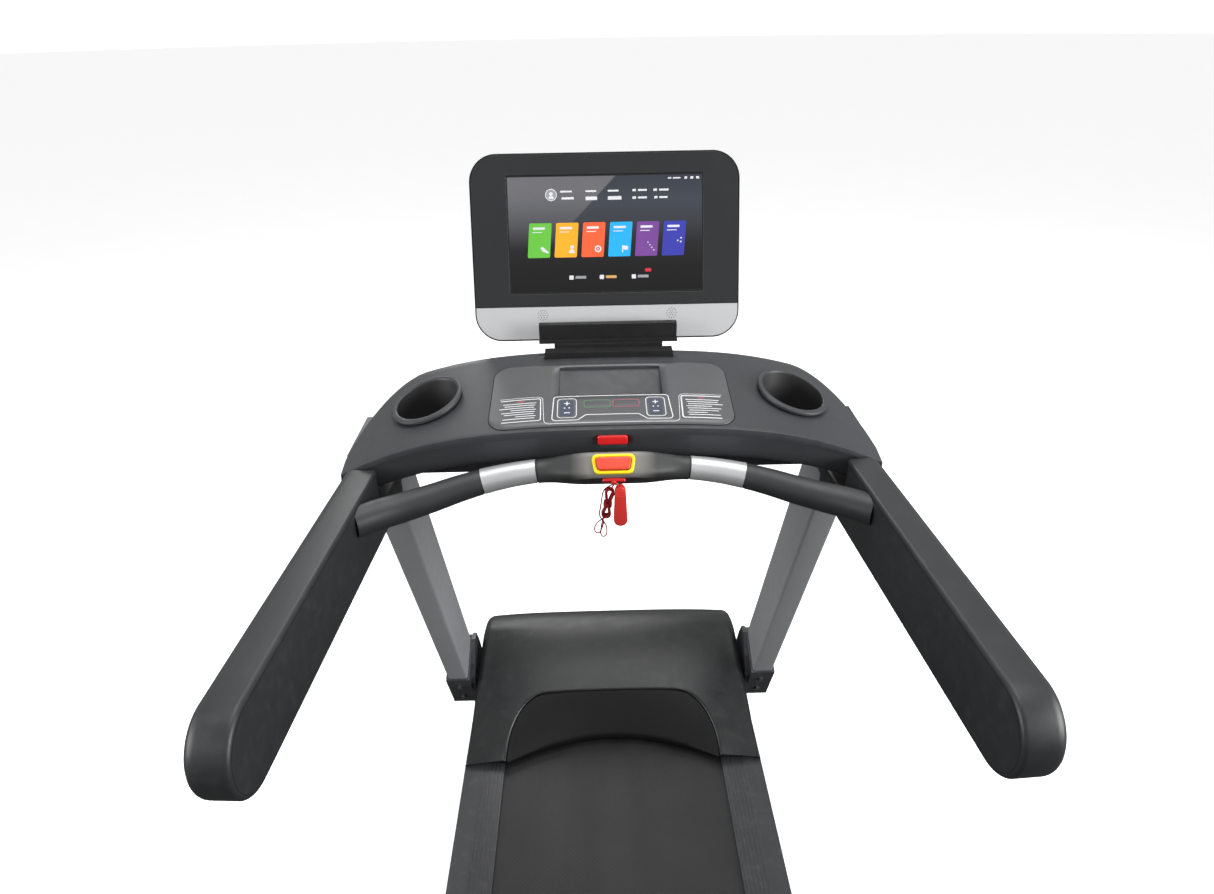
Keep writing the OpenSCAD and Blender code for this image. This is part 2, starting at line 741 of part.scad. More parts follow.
// Wedge that the phone rest sinks into the console
module rest_wedge(grow, top) {
  across(-rest_w / 2 - grow, rest_w + 2 * grow)
    polygon([[rest_y0 - grow, zt(0, rest_y0) - 24 - grow],
      [rest_y1 + grow, zt(0, rest_y1) - 5 - grow],
      [rest_y1 + grow, zt(0, rest_y1) - top], [rest_y0 - grow, zt(0, rest_y0) - top]]);
}

// Where a cup holder's middle line meets the console's surface
cup_x = 284;
cup_y = 302;
cup_z = zt(cup_x, cup_y);

module cup_at(s) {
  translate([s * cup_x, cup_y, cup_z]) children();
}

// Leans its children with the surface there
module with_slope(s) {
  rotate([atan(top_rise), s * atan(3 * side_drop * pow(cup_x / 410, 2) / 410), 0]) children();
}

module console_top() {
  xs = console_xs(console_w);
  inner_xs = concat([-console_w + skin], [for (i = [1:len(xs) - 2]) xs[i]], [console_w - skin]);
  color("#54565a") {
    difference() {
      sheet([for (x = xs) lid_row(x, 0, 0)], [for (x = inner_xs) lid_row(x, skin, skin)],
        function(i, j) (abs(xs[i] + xs[i + 1]) < rest_w && j >= 3 && j <= 4)
          || (abs(xs[i] + xs[i + 1]) < slot_w && j == 6),
        first = true, last = true);
      for (s = [-1, 1]) cup_at(s) with_slope(s) cylinder(h = 60, r = cup_d / 2 + 8.2, center = true);
    }
    difference() {
      rest_wedge(3, skin);
      rest_wedge(0, -20);
    }
  }
}

module console_base() {
  xs = console_xs(console_w - 2);
  inner_xs = concat([-console_w + 6], [for (i = [1:len(xs) - 2]) xs[i]], [console_w - 6]);
  color("#2f3033") sheet([for (x = xs) tray_row(x, 0)], [for (x = inner_xs) tray_row(x, skin)],
    function(i, j) abs(xs[i] + xs[i + 1]) < key_w && j == 0, first = true, last = true);
}

module console_overlay() {
  r = 28;
  w = 181;
  y0 = 198;
  y1 = 357;
  arc = [for (a = [0:15:90]) [w - r + r * cos(a), r - r * sin(a)]];
  half = concat(arc, [for (x = [150, slot_w / 2, rest_w / 2, key_w / 2]) [x, 0]]);
  xs = concat([for (q = half) [-q[0], q[1]]], [[0, 0]], [for (i = [len(half) - 1:-1:0]) half[i]]);
  function row(q, d) = let (x = q[0], c = min(q[1], r - 0.5))
    [for (y = [y0 + c, rest_y0, min(rest_y1, y1 - c - 4), y1 - c]) [x, y, zt(x, y) + d]];
  color("#5b5d61") sheet([for (q = xs) row(q, 0.9)], [for (q = xs) row(q, 0.05)],
    function(i, j) j == 1 && abs(xs[i][0] + xs[i + 1][0]) < rest_w);
}

// Cover that closes the console over the top of an upright
module console_boot(s) {
  color("#2f3033") difference() {
    side(s) hull() {
      block(356, 424, 304, 448, 1150, 1176);
      block(360, 422, 330, 455, 1092, 1094);
    }
    // Room for the upright, closed on top
    difference() {
      on_upright(s) translate([-tube_w / 2 - 0.2, -tube_d / 2 - 0.2, 0])
        cube([tube_w + 0.4, tube_d + 0.4, 1400]);
      block(-500, 500, 0, 1400, upright_top + 0.2, 1600);
    }
    side(s) block(340, 366.1, 290, 400, 1117, 1159);
  }
}

module cup_holder(s) {
  r = cup_d / 2;
  rim = 8;                      // height of the rim over the surface
  floor_z = rim - cup_h;
  mouth = -9;                   // the bore ends here, just under the leaning rim
  color("#3f4144") cup_at(s) difference() {
    union() {
      with_slope(s) {
        translate([0, 0, 2]) cylinder(h = rim - 2, r = r + 11);
        translate([0, 0, -8]) cylinder(h = 11, r = r + 6.4);
      }
      translate([0, 0, floor_z - 3]) cylinder(h = mouth - floor_z + 3, r = r + 3);
    }
    translate([0, 0, floor_z]) cylinder(h = 5 + eps, r1 = r - 5, r2 = r);
    translate([0, 0, floor_z + 5]) cylinder(h = mouth - floor_z - 5 + eps, r = r);
    translate([0, 0, mouth]) cylinder(h = 60, r = r + 0.6);
  }
}

// ---------- stop pod and safety key ----------

module on_pod() {
  translate([0, pod_y, pod_z]) rotate([pod_lean, 0, 0]) children();
}

// Outline of the stop button: wider at the top
module stop_outline(w, h, r) {
  offset_w = w * 0.43;
  hull() {
    for (x = [-1, 1]) {
      translate([x * (w / 2 - r), h / 2 - r]) circle(r, $fn = 32);
      translate([x * (offset_w - r), -h / 2 + r]) circle(r, $fn = 32);
    }
  }
}

module stop_pod() {
  color("#6a6c70") on_pod() difference() {
    translate([0, (pod_low + pod_high) / 2, 0]) {
      translate([0, 0, -17.2]) linear_extrude(pod_face - 4 + 17.2) plate(84, pod_high - pod_low, 15);
      translate([0, 0, pod_face - 5]) linear_extrude(5) plate(80, pod_high - pod_low - 4, 13);
    }
    rod(-50, 50, 0, 0, 14.2);
    rod(-50, -40, 0, 0, 17.4);
    rod(40, 50, 0, 0, 17.4);
    translate([0, ring_mid, 16]) linear_extrude(30) plate(54, 23, 6);
    // Socket for the safety key
    block(-8.4, 8.4, pod_low - 1, pod_low + 4.4, key_z - 2.9, key_z + 2.9);
  }
}

module stop_ring() {
  color("#f2e600") on_pod() translate([0, ring_mid, pod_face]) linear_extrude(4) difference() {
    stop_outline(64, 29.5, 8);
    stop_outline(53, 19.6, 5);
  }
}

module stop_button() {
  color("#ee4b2b") on_pod() translate([0, ring_mid, 0]) {
    translate([0, 0, 22]) linear_extrude(3) plate(52, 21, 5);
    translate([0, 0, 24]) linear_extrude(15) stop_outline(51.8, 18.4, 4.6);
  }
}

module quick_stop() {
  color("#c3121b") {
    block(-22, 22, lip_y - 2, lip_y + 20, lip_z - 24.6, lip_z - 9.6);
  }
}

module safety_key() {
  color("#d6181f") on_pod() {
    block(-8, 8, pod_low - 1, pod_low + 4, key_z - 2.5, key_z + 2.5);
    translate([0, pod_low - 0.4, key_z]) rotate([90, 0, 0]) {
      linear_extrude(4) plate(33, 9, 3);
      cylinder(h = 7, r = 4);
    }
  }
}

module lanyard() {
  color("#c4161d") for (route = [lanyard_route, clip_route])
    loft([for (i = [0:len(route) - 1]) ring_at(route, i, cord_r, 8)]);
}

// A strip with round ends, length l and width w, on the XY plane
module pill(l, w) {
  square([w, l - w], center = true);
  for (e = [-1, 1]) translate([0, e * (l - w) / 2]) circle(w / 2);
}

module lanyard_hank() {
  color("#c4161d") {
    translate(hank) rotate([90, hank_lean, 0]) linear_extrude(11, center = true) pill(hank_l, 15);
    // The two loose loops under the tie
    translate([-18.5, 149.8, 1136]) rotate([90, 25, 0]) linear_extrude(7, center = true) pill(40, 13);
  }
}

// Half of the clothing clip, as (x, z)
module clip_pill(t) {
  translate([clip_x, clip_y, clip_z]) rotate([90, 0, 0]) linear_extrude(t)
    pill(2 * clip_half + 20, 20);
}

module clip_body() {
  color("#d6181f") {
    translate([0, 4, 0]) clip_pill(4);
    rod(clip_x - 8, clip_x + 8, clip_y - clip_gap / 2, clip_pin_z, 1.1);
    for (x = [-9, 6.2]) block(clip_x + x, clip_x + x + 2.8, clip_y - clip_gap + 0.4,
      clip_y + eps, clip_pin_z - 2, clip_pin_z + 2);
  }
}

module clip_jaw() {
  color("#e02228") difference() {
    union() {
      translate([0, -clip_gap, 0]) clip_pill(4);
      rod(clip_x - 5.8, clip_x + 5.8, clip_y - clip_gap / 2, clip_pin_z, 1.9);
      block(clip_x - 5.8, clip_x + 5.8, clip_y - clip_gap - eps, clip_y - clip_gap / 2,
        clip_pin_z - 1.9, clip_pin_z + 1.9);
      // Teeth that grip the cloth
      for (z = [-27, -24]) block(clip_x - 6, clip_x + 6, clip_y - clip_gap - eps,
        clip_y - gap, clip_z + z, clip_z + z + 1.6);
    }
    rod(clip_x - 12, clip_x + 12, clip_y - clip_gap / 2, clip_pin_z, 1.1 + fit);
  }
}

// ---------- screen ----------

module on_screen() {
  translate([0, screen_y, screen_z]) rotate([-screen_lean, 0, 0]) children();
}

// Turns a shape drawn as (x, z) into a plate of thickness t, its front face at y
module upright_plate(y, t) {
  translate([0, y + t, 0]) rotate([90, 0, 0]) linear_extrude(t, convexity = 4) children();
}

module screen_outline(inset = 0) {
  translate([0, screen_h / 2]) plate(screen_w - 2 * inset, screen_h - 2 * inset, screen_r - inset);
}

module screen_neck() {
  hy = screen_y + hinge_y * cos(screen_lean) + hinge_z * sin(screen_lean);
  hz = screen_z - hinge_y * sin(screen_lean) + hinge_z * cos(screen_lean);
  color("#1b1b1c") {
    block(-88, 88, 397, 432, 1262, 1322);
    // Foot that goes down through the lid's slot
    block(-103, 103, slot_y0 + 1, slot_y1 - 1, 1264, 1316);
    block(-103, 103, slot_y0 + 1, 397 + eps, 1311.6, 1316);
    // Ledge in front of the screen
    block(-113, 113, 418, 432, 1321, 1348);
    block(-113, 113, 404, 419, 1321, 1325);
    for (x = [-84, 66]) {
      block(x, x + 18, 431, hy, hz - 9, hz + 2);
      rod(x, x + 18, hy, hz, 9);
    }
    rod(-84, 84, hy, hz, 5);
  }
}

module screen_back() {
  color("#26272a") on_screen() difference() {
    union() {
      upright_plate(6, housing_d - 12) screen_outline();
      upright_plate(housing_d - 6.01, 6) screen_outline(10);
      for (x = [-60, 28]) {
        rod(x, x + 32, hinge_y, hinge_z, 10);
        block(x, x + 32, hinge_y - 8, hinge_y + 8, hinge_z, 4);
      }
    }
    upright_plate(5, housing_d - 14) screen_outline(wall);
    rod(-90, 90, hinge_y, hinge_z, 5 + fit);
  }
}

module screen_bezel() {
  color("#333437") on_screen() difference() {
    upright_plate(0, 6) difference() {
      screen_outline();
      translate([-300, -1]) square([600, band_h + 1.2]);
      translate([0, 172]) plate(322, 190, 2);
    }
  }
}

module screen_glass() {
  color("#101114") on_screen() upright_plate(1, 4) translate([0, 172]) plate(321.4, 189.4, 1.8);
}

module screen_band() {
  color("#d9dadc") on_screen() difference() {
    upright_plate(0, 6) intersection() {
      screen_outline();
      translate([-300, -1]) square([600, band_h + 1]);
    }
    // Two round patterns of speaker holes
    for (s = [-1, 1], ring = [[0, 1], [4, 6], [8, 12]], i = [0:ring[1] - 1])
      let (a = 360 * i / ring[1])
        translate([s * 108 + ring[0] * cos(a), -1, 42 + ring[0] * sin(a)])
          rotate([-90, 0, 0]) cylinder(h = 8, r = 1, $fn = 14);
  }
}

// ---------- nodes ----------

frame_rail(-1);  // frame_rail_left
frame_rail(1);  // frame_rail_right
cross_members();
deck_board();
deck_cushions();
running_belt();
side_rail(-1);  // side_rail_left
side_rail(1);  // side_rail_right
end_cap(-1);  // end_cap_left
end_cap(1);  // end_cap_right
rear_foot(-1);  // rear_foot_left
rear_foot(1);  // rear_foot_right
belt_adjusters();
roller_axles();
front_roller();
rear_roller();
motor_hood();
hood_inset();
motor_tray();
drive_motor();
motor_shaft();
drive_belt();
motor_controller();
power_switch();
lift_motor();
lift_tube();
lift_frame();
wheel(-1);  // wheel_left
wheel(1);  // wheel_right
upright_shoe(-1);  // upright_shoe_left
upright_shoe(1);  // upright_shoe_right
upright(-1);  // upright_left
upright(1);  // upright_right
frame_bolts();
console_frame();
console_base();
console_top();
console_overlay();
console_boot(-1);  // console_boot_left
console_boot(1);  // console_boot_right
cup_holder(-1);  // cup_holder_left
cup_holder(1);  // cup_holder_right
arm(-1);  // arm_left
arm(1);  // arm_right
grip_cover();
pulse_plates();
stop_pod();
stop_ring();
stop_button();
quick_stop();
safety_key();
lanyard();
lanyard_hank();
clip_body();
clip_jaw();
screen_neck();
screen_back();
screen_bezel();
screen_glass();
screen_band();
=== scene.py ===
"""Looks of the motorised treadmill. Lengths are millimetres until a mesh is made."""
import bmesh
import bpy
from math import atan2, cos, pi, radians, sin, sqrt, tan
from mathutils import Matrix, Vector
from mathutils.geometry import tessellate_polygon


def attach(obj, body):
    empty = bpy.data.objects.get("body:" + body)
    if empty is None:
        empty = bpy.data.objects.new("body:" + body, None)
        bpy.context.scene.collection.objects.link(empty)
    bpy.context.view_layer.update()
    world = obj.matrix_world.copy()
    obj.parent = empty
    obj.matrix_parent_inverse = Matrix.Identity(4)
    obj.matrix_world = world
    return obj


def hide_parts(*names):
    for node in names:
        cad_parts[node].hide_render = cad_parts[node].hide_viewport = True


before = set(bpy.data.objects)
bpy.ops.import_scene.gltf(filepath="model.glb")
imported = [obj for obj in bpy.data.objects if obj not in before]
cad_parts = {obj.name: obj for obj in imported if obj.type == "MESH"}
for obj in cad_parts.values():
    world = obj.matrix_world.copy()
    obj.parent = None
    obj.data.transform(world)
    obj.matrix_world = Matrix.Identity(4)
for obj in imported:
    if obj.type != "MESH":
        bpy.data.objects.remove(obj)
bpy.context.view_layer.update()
MM = 0.001

# ---------- camera, lights and floor ----------

LENS, SENSOR = 25.02, 36.0
PITCH, YAW, ROLL = radians(27.7), radians(0.86), radians(-0.94)


def make_camera():
    look = Vector((sin(YAW) * cos(PITCH), cos(YAW) * cos(PITCH), -sin(PITCH)))
    level = Vector((cos(YAW), -sin(YAW), 0))
    up = level.cross(look)
    right = cos(ROLL) * level + sin(ROLL) * up
    up = -sin(ROLL) * level + cos(ROLL) * up
    data = bpy.data.cameras.new("camera")
    data.lens, data.sensor_width = LENS, SENSOR
    cam = bpy.data.objects.new("camera", data)
    cam.matrix_world = Matrix.Translation((-0.0245, -0.897, 1.8114)) @ Matrix(
        (right, up, -look)).transposed().to_4x4()
    bpy.context.scene.collection.objects.link(cam)
    bpy.context.scene.camera = cam


def area_light(name, where, aim, size, power):
    data = bpy.data.lights.new(name, "AREA")
    data.shape, data.size, data.energy = "DISK", size, power
    lamp = bpy.data.objects.new(name, data)
    lamp.location = where
    lamp.rotation_euler = (Vector(aim) - Vector(where)).to_track_quat("-Z", "Y").to_euler()
    bpy.context.scene.collection.objects.link(lamp)


def add_stage(name, verts, faces, mat):
    me = bpy.data.meshes.new(name)
    me.from_pydata(verts, [], faces)
    me.materials.append(mat)
    o = bpy.data.objects.new(name, me)
    bpy.context.scene.collection.objects.link(o)
    o.visible_diffuse = o.visible_glossy = o.visible_shadow = False


def make_studio():
    world = bpy.data.worlds.new("studio")
    bpy.context.scene.world = world
    world.use_nodes = True
    nt = world.node_tree
    nt.nodes.clear()
    out = nt.nodes.new("ShaderNodeOutputWorld")
    back = nt.nodes.new("ShaderNodeBackground")
    ramp = nt.nodes.new("ShaderNodeValToRGB")
    split = nt.nodes.new("ShaderNodeSeparateXYZ")
    coord = nt.nodes.new("ShaderNodeTexCoord")
    for stop, (at, grey) in zip(ramp.color_ramp.elements, ((.44, .16), (.495, 1))):
        stop.position, stop.color = at, (grey, grey, grey, 1)
    half = nt.nodes.new("ShaderNodeMath")
    half.operation = "MULTIPLY_ADD"
    half.inputs[1].default_value = half.inputs[2].default_value = .5
    nt.links.new(coord.outputs["Generated"], split.inputs[0])
    nt.links.new(split.outputs["Z"], half.inputs[0])
    nt.links.new(half.outputs[0], ramp.inputs["Fac"])
    nt.links.new(ramp.outputs["Color"], back.inputs["Color"])
    back.inputs["Strength"].default_value = 0.52
    nt.links.new(back.outputs[0], out.inputs["Surface"])
    area_light("light_top", (0.3, 0.6, 4.6), (0, 0.3, 0.8), 3.2, 80)
    area_light("light_right", (3.4, -1.2, 2.0), (0, 0.4, 0.8), 2.2, 150)
    area_light("light_left", (-3.4, -1.0, 2.0), (0, 0.3, 0.8), 2.2, 75)
    area_light("light_back", (-0.6, 4.2, 3.2), (0, 0.4, 1.0), 2.4, 60)
    wide = 60.0
    plain = dict(var=.01, grain=60, bump=.02)
    white = finish_of("floor", "#fbfbfb", 0.6, glow=.45, **plain)
    corners = [(-wide, -wide, 0), (wide, -wide, 0), (wide, wide, 0), (-wide, wide, 0)]
    add_stage("floor", corners, [(0, 1, 2, 3)], white)
    # A white wall all round, which neither lights the object nor shows in its gloss
    pale = finish_of("backdrop", "#ffffff", 0.9, glow=1.0, **plain)
    n, r = 32, wide * .95
    ring = [(r * cos(2 * pi * k / n), r * sin(2 * pi * k / n), z) for z in (-40, 60) for k in range(n)]
    add_stage("backdrop", ring, [(k, (k + 1) % n, n + (k + 1) % n, n + k) for k in range(n)], pale)


# ---------- materials ----------

def linear(code):
    """A hex colour as the shader's linear one."""
    c = [int(code[i:i + 2], 16) / 255 for i in (1, 3, 5)]
    return (*(v / 12.92 if v <= .04045 else ((v + .055) / 1.055) ** 2.4 for v in c), 1.0)


class Nodes:
    """Short ways to add nodes to a material."""

    def __init__(self, name):
        self.mat = bpy.data.materials.new(name)
        self.mat.use_nodes = True
        self.tree = self.mat.node_tree
        self.tree.nodes.clear()
        self.out = self.add("OutputMaterial")
        self.shader = self.add("BsdfPrincipled")
        self.link(self.shader.outputs[0], self.out.inputs["Surface"])
        self.where = self.add("TexCoord").outputs["Object"]

    def add(self, kind, **values):
        n = self.tree.nodes.new("ShaderNode" + kind)
        for k, v in values.items():
            setattr(n, k, v)
        return n

    def link(self, a, b):
        self.tree.links.new(a, b)

    def stretch(self, scale, turn=(0, 0, 0)):
        m = self.add("Mapping")
        m.inputs["Scale"].default_value = scale
        m.inputs["Rotation"].default_value = turn
        self.link(self.where, m.inputs["Vector"])
        return m.outputs["Vector"]

    def noise(self, scale, detail=2.0, rough=.5, vector=None):
        n = self.add("TexNoise")
        n.inputs["Scale"].default_value = scale
        n.inputs["Detail"].default_value = detail
        n.inputs["Roughness"].default_value = rough
        self.link(vector or self.where, n.inputs["Vector"])
        return n.outputs["Fac"]

    def fit(self, value, lo, hi, a=.3, b=.7):
        m = self.add("MapRange")
        for k, v in (("From Min", a), ("From Max", b), ("To Min", lo), ("To Max", hi)):
            m.inputs[k].default_value = v
        self.link(value, m.inputs["Value"])
        return m.outputs["Result"]

    def math(self, kind, a, b):
        m = self.add("Math", operation=kind)
        for socket, v in zip(m.inputs, (a, b)):
            if isinstance(v, (int, float)):
                socket.default_value = v
            else:
                self.link(v, socket)
        return m.outputs[0]

    def mix(self, fac, a, b):
        m = self.add("Mix", data_type="RGBA")
        self.link(fac, m.inputs["Factor"])
        for socket, v in ((m.inputs[6], a), (m.inputs[7], b)):
            if isinstance(v, (tuple, list)):
                socket.default_value = v
            else:
                self.link(v, socket)
        return m.outputs[2]

    def bump(self, height, strength, distance):
        b = self.add("Bump")
        b.inputs["Strength"].default_value = strength
        b.inputs["Distance"].default_value = distance * MM
        self.link(height, b.inputs["Height"])
        self.link(b.outputs[0], self.shader.inputs["Normal"])

    def put(self, **values):
        for k, v in values.items():
            socket = self.shader.inputs[k.replace("_", " ")]
            if hasattr(v, "links"):
                self.link(v, socket)
            else:
                socket.default_value = v


def finish_of(name, colour, rough, var=.10, grain=900, bump=.12, depth=.25, metal=0.0, coat=0.0,
              scuff=.06, brushed=None, glow=0.0, specular=0.5, dust=0.0):
    """A moulded, painted or metal finish: cloudy colour, uneven gloss, fine grain in the bump."""
    n = Nodes(name)
    c = linear(colour)
    cloud = n.noise(3.2, 4, .6)
    shade = n.mix(n.fit(cloud, 0, 1), tuple(v * (1 - var) for v in c[:3]) + (1,),
                  tuple(min(1, v * (1 + var) + .001) for v in c[:3]) + (1,))
    marks = n.noise(1.0, 5, .65, n.stretch(brushed or (46, 46, 46)))
    if dust:
        shade = n.mix(n.fit(marks, 0, dust, .52, .82), shade, (.32, .31, .30, 1))
    n.put(Base_Color=shade, Roughness=n.fit(marks, max(.03, rough - scuff), min(1, rough + scuff)),
          Metallic=metal, Coat_Weight=coat, Coat_Roughness=.12, Specular_IOR_Level=specular)
    if glow:
        n.put(Emission_Color=shade, Emission_Strength=glow)
    fine = n.noise(grain, 2, .5)
    if brushed:
        fine = n.math("ADD", n.math("MULTIPLY", fine, .35), n.noise(9, 3, .6, n.stretch(brushed)))
    n.bump(fine, bump, depth)
    return n.mat


def belt_finish(name):
    """Rubber belt top: small lozenges pressed into it, and tracks worn along its length."""
    n = Nodes(name)
    a = n.add("TexWave", wave_type="BANDS", bands_direction="DIAGONAL")
    b = n.add("TexWave", wave_type="BANDS", bands_direction="DIAGONAL")
    for wave, turn in ((a, 0), (b, pi / 2)):
        wave.inputs["Scale"].default_value = 60
        n.link(n.stretch((1, 1, 0), (0, 0, turn)), wave.inputs["Vector"])
    weave = n.math("MAXIMUM", a.outputs["Fac"], b.outputs["Fac"])
    track = n.noise(1.0, 4, .6, n.stretch((9, .8, 9)))
    cloud = n.noise(5, 4, .6)
    mid = n.mix(n.fit(track, 0, 1), linear("#151516"), linear("#222223"))
    worn = n.mix(n.fit(cloud, 0, .5, .4, .8), mid, linear("#2a2a2a"))
    n.put(Base_Color=n.mix(n.fit(weave, 0, .45, 0, 1), worn, linear("#101010")),
          Roughness=n.fit(track, .48, .66), Specular_IOR_Level=.4)
    n.bump(n.math("ADD", weave, n.math("MULTIPLY", n.noise(1400, 2), .5)), .35, .25)
    return n.mat


def pod_finish(name):
    """The pod's two shells: a pale one over a dark one, which the bar's plastic takes over further out. The
    pale upper side is partly the shell's own grey and partly a painted highlight that fades out towards the
    bar.
    """
    n = Nodes(name)
    split = n.add("SeparateXYZ")
    n.link(n.where, split.inputs[0])
    out = n.math("ABSOLUTE", split.outputs["X"], 0)
    over = n.math("MULTIPLY", n.math("SUBTRACT", split.outputs["Z"], split.outputs["Y"]), sqrt(.5))
    over = n.math("SUBTRACT", over, (1.217 - .168) * sqrt(.5))
    # The line between the shells rises away from the middle, and the pale one fades into the bar: that fade
    # is a painted highlight.
    edge = n.fit(out, .0235, .002, .030, .105)
    light = n.fit(n.math("SUBTRACT", over, edge), 0, 1, -.0006, .0006)
    # Painted highlight: the pale colour dies away between 34 and 62 mm out from the middle
    light = n.math("MULTIPLY", light, n.fit(out, 1, .05, .034, .062))
    cloud = n.noise(4, 4, .6)
    pale = n.mix(n.fit(cloud, 0, 1), linear("#7c7b77"), linear("#86857f"))
    dark = n.mix(n.fit(cloud, 0, 1), linear("#2c2d2e"), linear("#343536"))
    marks = n.noise(1, 5, .65, n.stretch((46, 46, 46)))
    n.put(Base_Color=n.mix(light, dark, pale), Roughness=n.fit(marks, .38, .5))
    n.bump(n.noise(1100, 2), .16, .25)
    return n.mat


def ui_finish(name):
    """Picture behind the tiles: black below, with a painted reflection at the upper left, cut off along a
    slanting line.
    """
    n = Nodes(name)
    along = n.add("VectorMath", operation="DOT_PRODUCT")
    along.inputs[1].default_value = (0, sin(SCREEN_LEAN), cos(SCREEN_LEAN))
    n.link(n.where, along.inputs[0])
    base = SCREEN_Y * MM * sin(SCREEN_LEAN) + SCREEN_Z * MM * cos(SCREEN_LEAN)
    height = n.fit(along.outputs["Value"], 0, 1, base + .080, base + .264)
    split = n.add("SeparateXYZ")
    n.link(n.where, split.inputs[0])
    across = n.fit(split.outputs["X"], 0, 1, -.159, .159)
    ramp = n.add("ValToRGB")
    stops = [(0, "#0b0b0c"), (.22, "#131314"), (.42, "#242427"), (.62, "#3d4148"), (.8, "#454b55"),
             (1, "#3a3f49")]
    while len(ramp.color_ramp.elements) < len(stops):
        ramp.color_ramp.elements.new(.5)
    for e, (p, c) in zip(ramp.color_ramp.elements, stops):
        e.position, e.color = p, linear(c)
    n.link(height, ramp.inputs["Fac"])
    # Painted reflection: the glass catches the light above a line with a slope of 1.75, which meets the top
    # edge at .56
    slant = n.math("MULTIPLY", n.math("SUBTRACT", across, .56), 1.75)
    lit = n.fit(n.math("SUBTRACT", n.math("SUBTRACT", height, 1), slant), 0, 1, 0, .02)
    fade = n.fit(height, 0, .42, .38, .9)
    glare = n.math("MULTIPLY", lit, fade)
    mottled_glare = n.math("MULTIPLY", glare, n.fit(n.noise(9, 3), .85, 1.0))
    shade = n.mix(mottled_glare, ramp.outputs["Color"], linear("#a9a5a8"))
    n.put(Base_Color=(0, 0, 0, 1), Emission_Color=shade, Emission_Strength=.9,
          Roughness=n.fit(n.noise(30, 3), .10, .16))
    n.bump(n.noise(2500, 1), .02, .05)
    return n.mat


# Materials by name
M = {}


def make_materials():
    grey = dict(var=.09, grain=1100, bump=.16)

    def define(name, *values, **more):
        M[name] = finish_of(name, *values, **more)

    define("painted_frame", "#35363a", .42, grain=420, bump=.10, dust=.15)
    define("upright_paint", "#96979a", .38, var=.05, grain=500, bump=.10, depth=.2, coat=.15)
    define("bare_steel", "#a9abae", .30, metal=1, brushed=(6, 220, 220), bump=.08)
    define("deck_wood", "#5d4b38", .6, brushed=(90, 5, 90), bump=.25, var=.2)
    define("cushion_rubber", "#2c2c2d", .75, grain=500, bump=.3)
    define("rail_plastic", "#2a2b2d", .40, dust=.10, **grey)
    define("hood_plastic", "#1d1e1f", .36, dust=.03, specular=.38, **grey)
    define("inset_plastic", "#0f0f10", .6, specular=.2, **grey)
    define("arm_plastic", "#27282a", .44, dust=.04, **grey)
    define("console_plastic", "#36373a", .44, **grey)
    define("skirt_plastic", "#3d3e41", .46, **grey)
    define("overlay_film", "#545557", .34, var=.06, grain=1600, bump=.08, coat=.1)
    define("grip_plastic", "#303133", .47, **grey)
    define("silver_plate", "#d2d3d4", .36, metal=.6, brushed=(260, 14, 14), bump=.06)
    define("clip_red", "#e23a34", .34, var=.06, grain=1400, bump=.1, coat=.15)
    define("signal_yellow", "#f3dd06", .33, var=.04, coat=.2)
    define("signal_orange", "#e44a34", .36, var=.05, coat=.15)
    define("signal_red", "#df2024", .24, var=.08, coat=.35)
    define("cord_red", "#a8131a", .55, var=.15, grain=2600, bump=.5, brushed=(1500, 1500, 500))
    define("bracket_black", "#1c1c1d", .42, **grey)
    define("screen_plastic", "#262728", .37, specular=.4, **grey)
    define("screen_glass", "#0a0a0b", .10, scuff=.03, var=.2, bump=.01, coat=.5)
    define("silver_band", "#c9cacb", .36, var=.03, metal=.25, bump=.05, brushed=(12, 200, 200))
    define("cast_motor", "#55575a", .5, metal=.5, grain=300, bump=.3, dust=.2)
    define("circuit_board", "#2c5a3c", .4, var=.2, grain=160, bump=.3)
    define("wheel_rubber", "#1f1f20", .6, grain=500, bump=.25, dust=.2)
    define("zinc_bolt", "#8d8f92", .34, metal=1, brushed=(90, 90, 90), bump=.1)
    define("black_gap", "#070707", .7, var=.2)
    define("cup_black", "#303031", .5, **grey)
    define("print_white", "#dfe0e0", .4, var=.03, grain=2000, bump=.05)
    define("print_green", "#4f9a68", .4, var=.05, grain=2000, bump=.05)
    define("print_red", "#c0566b", .4, var=.05, grain=2000, bump=.05)
    define("pad_blue", "#40485a", .36, var=.05, grain=1600, bump=.08)
    M["belt_rubber"] = belt_finish("belt_rubber")
    M["ui_back"] = ui_finish("ui_back")
    M["pod_plastic"] = pod_finish("pod_plastic")
    for name, code in dict(ui_green="#5fb23c", ui_amber="#eda022", ui_orange="#ee5a32", ui_sky="#1f9fe6",
                           ui_purple="#6d3f88", ui_indigo="#35389c", ui_white="#cfcfd4", ui_grey="#8f9096",
                           ui_badge="#c8283c", ui_gold="#c79a5a").items():
        define(name, code, .2, var=.12, grain=2500, bump=.02, glow=.15)


# ---------- mesh tools ----------

def make(name, verts, faces, mat, body="chassis", slot=None, replaces=(), smooth=40, kinds=None):
    me = bpy.data.meshes.new(name)
    me.from_pydata([[c * MM for c in v] for v in verts], [], faces)
    for m in (mat if isinstance(mat, (list, tuple)) else [mat]):
        me.materials.append(M[m])
    if kinds:
        me.polygons.foreach_set("material_index", kinds)
    bm = bmesh.new()
    bm.from_mesh(me)
    bmesh.ops.remove_doubles(bm, verts=bm.verts, dist=2e-6)
    bmesh.ops.recalc_face_normals(bm, faces=bm.faces)
    bm.to_mesh(me)
    bm.free()
    me.shade_smooth()
    if smooth < 180:
        me.set_sharp_from_angle(angle=radians(smooth))
    o = bpy.data.objects.new(name, me)
    bpy.context.scene.collection.objects.link(o)
    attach(o, body)
    slot or (mat if isinstance(mat, str) else mat[0])
    if replaces:
        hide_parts(*([replaces] if isinstance(replaces, str) else replaces))
    return o


def solidify(o, t):
    m = o.modifiers.new("solidify", "SOLIDIFY")
    m.thickness, m.offset = t * MM, -1
    m.use_even_offset = m.use_quality_normals = True


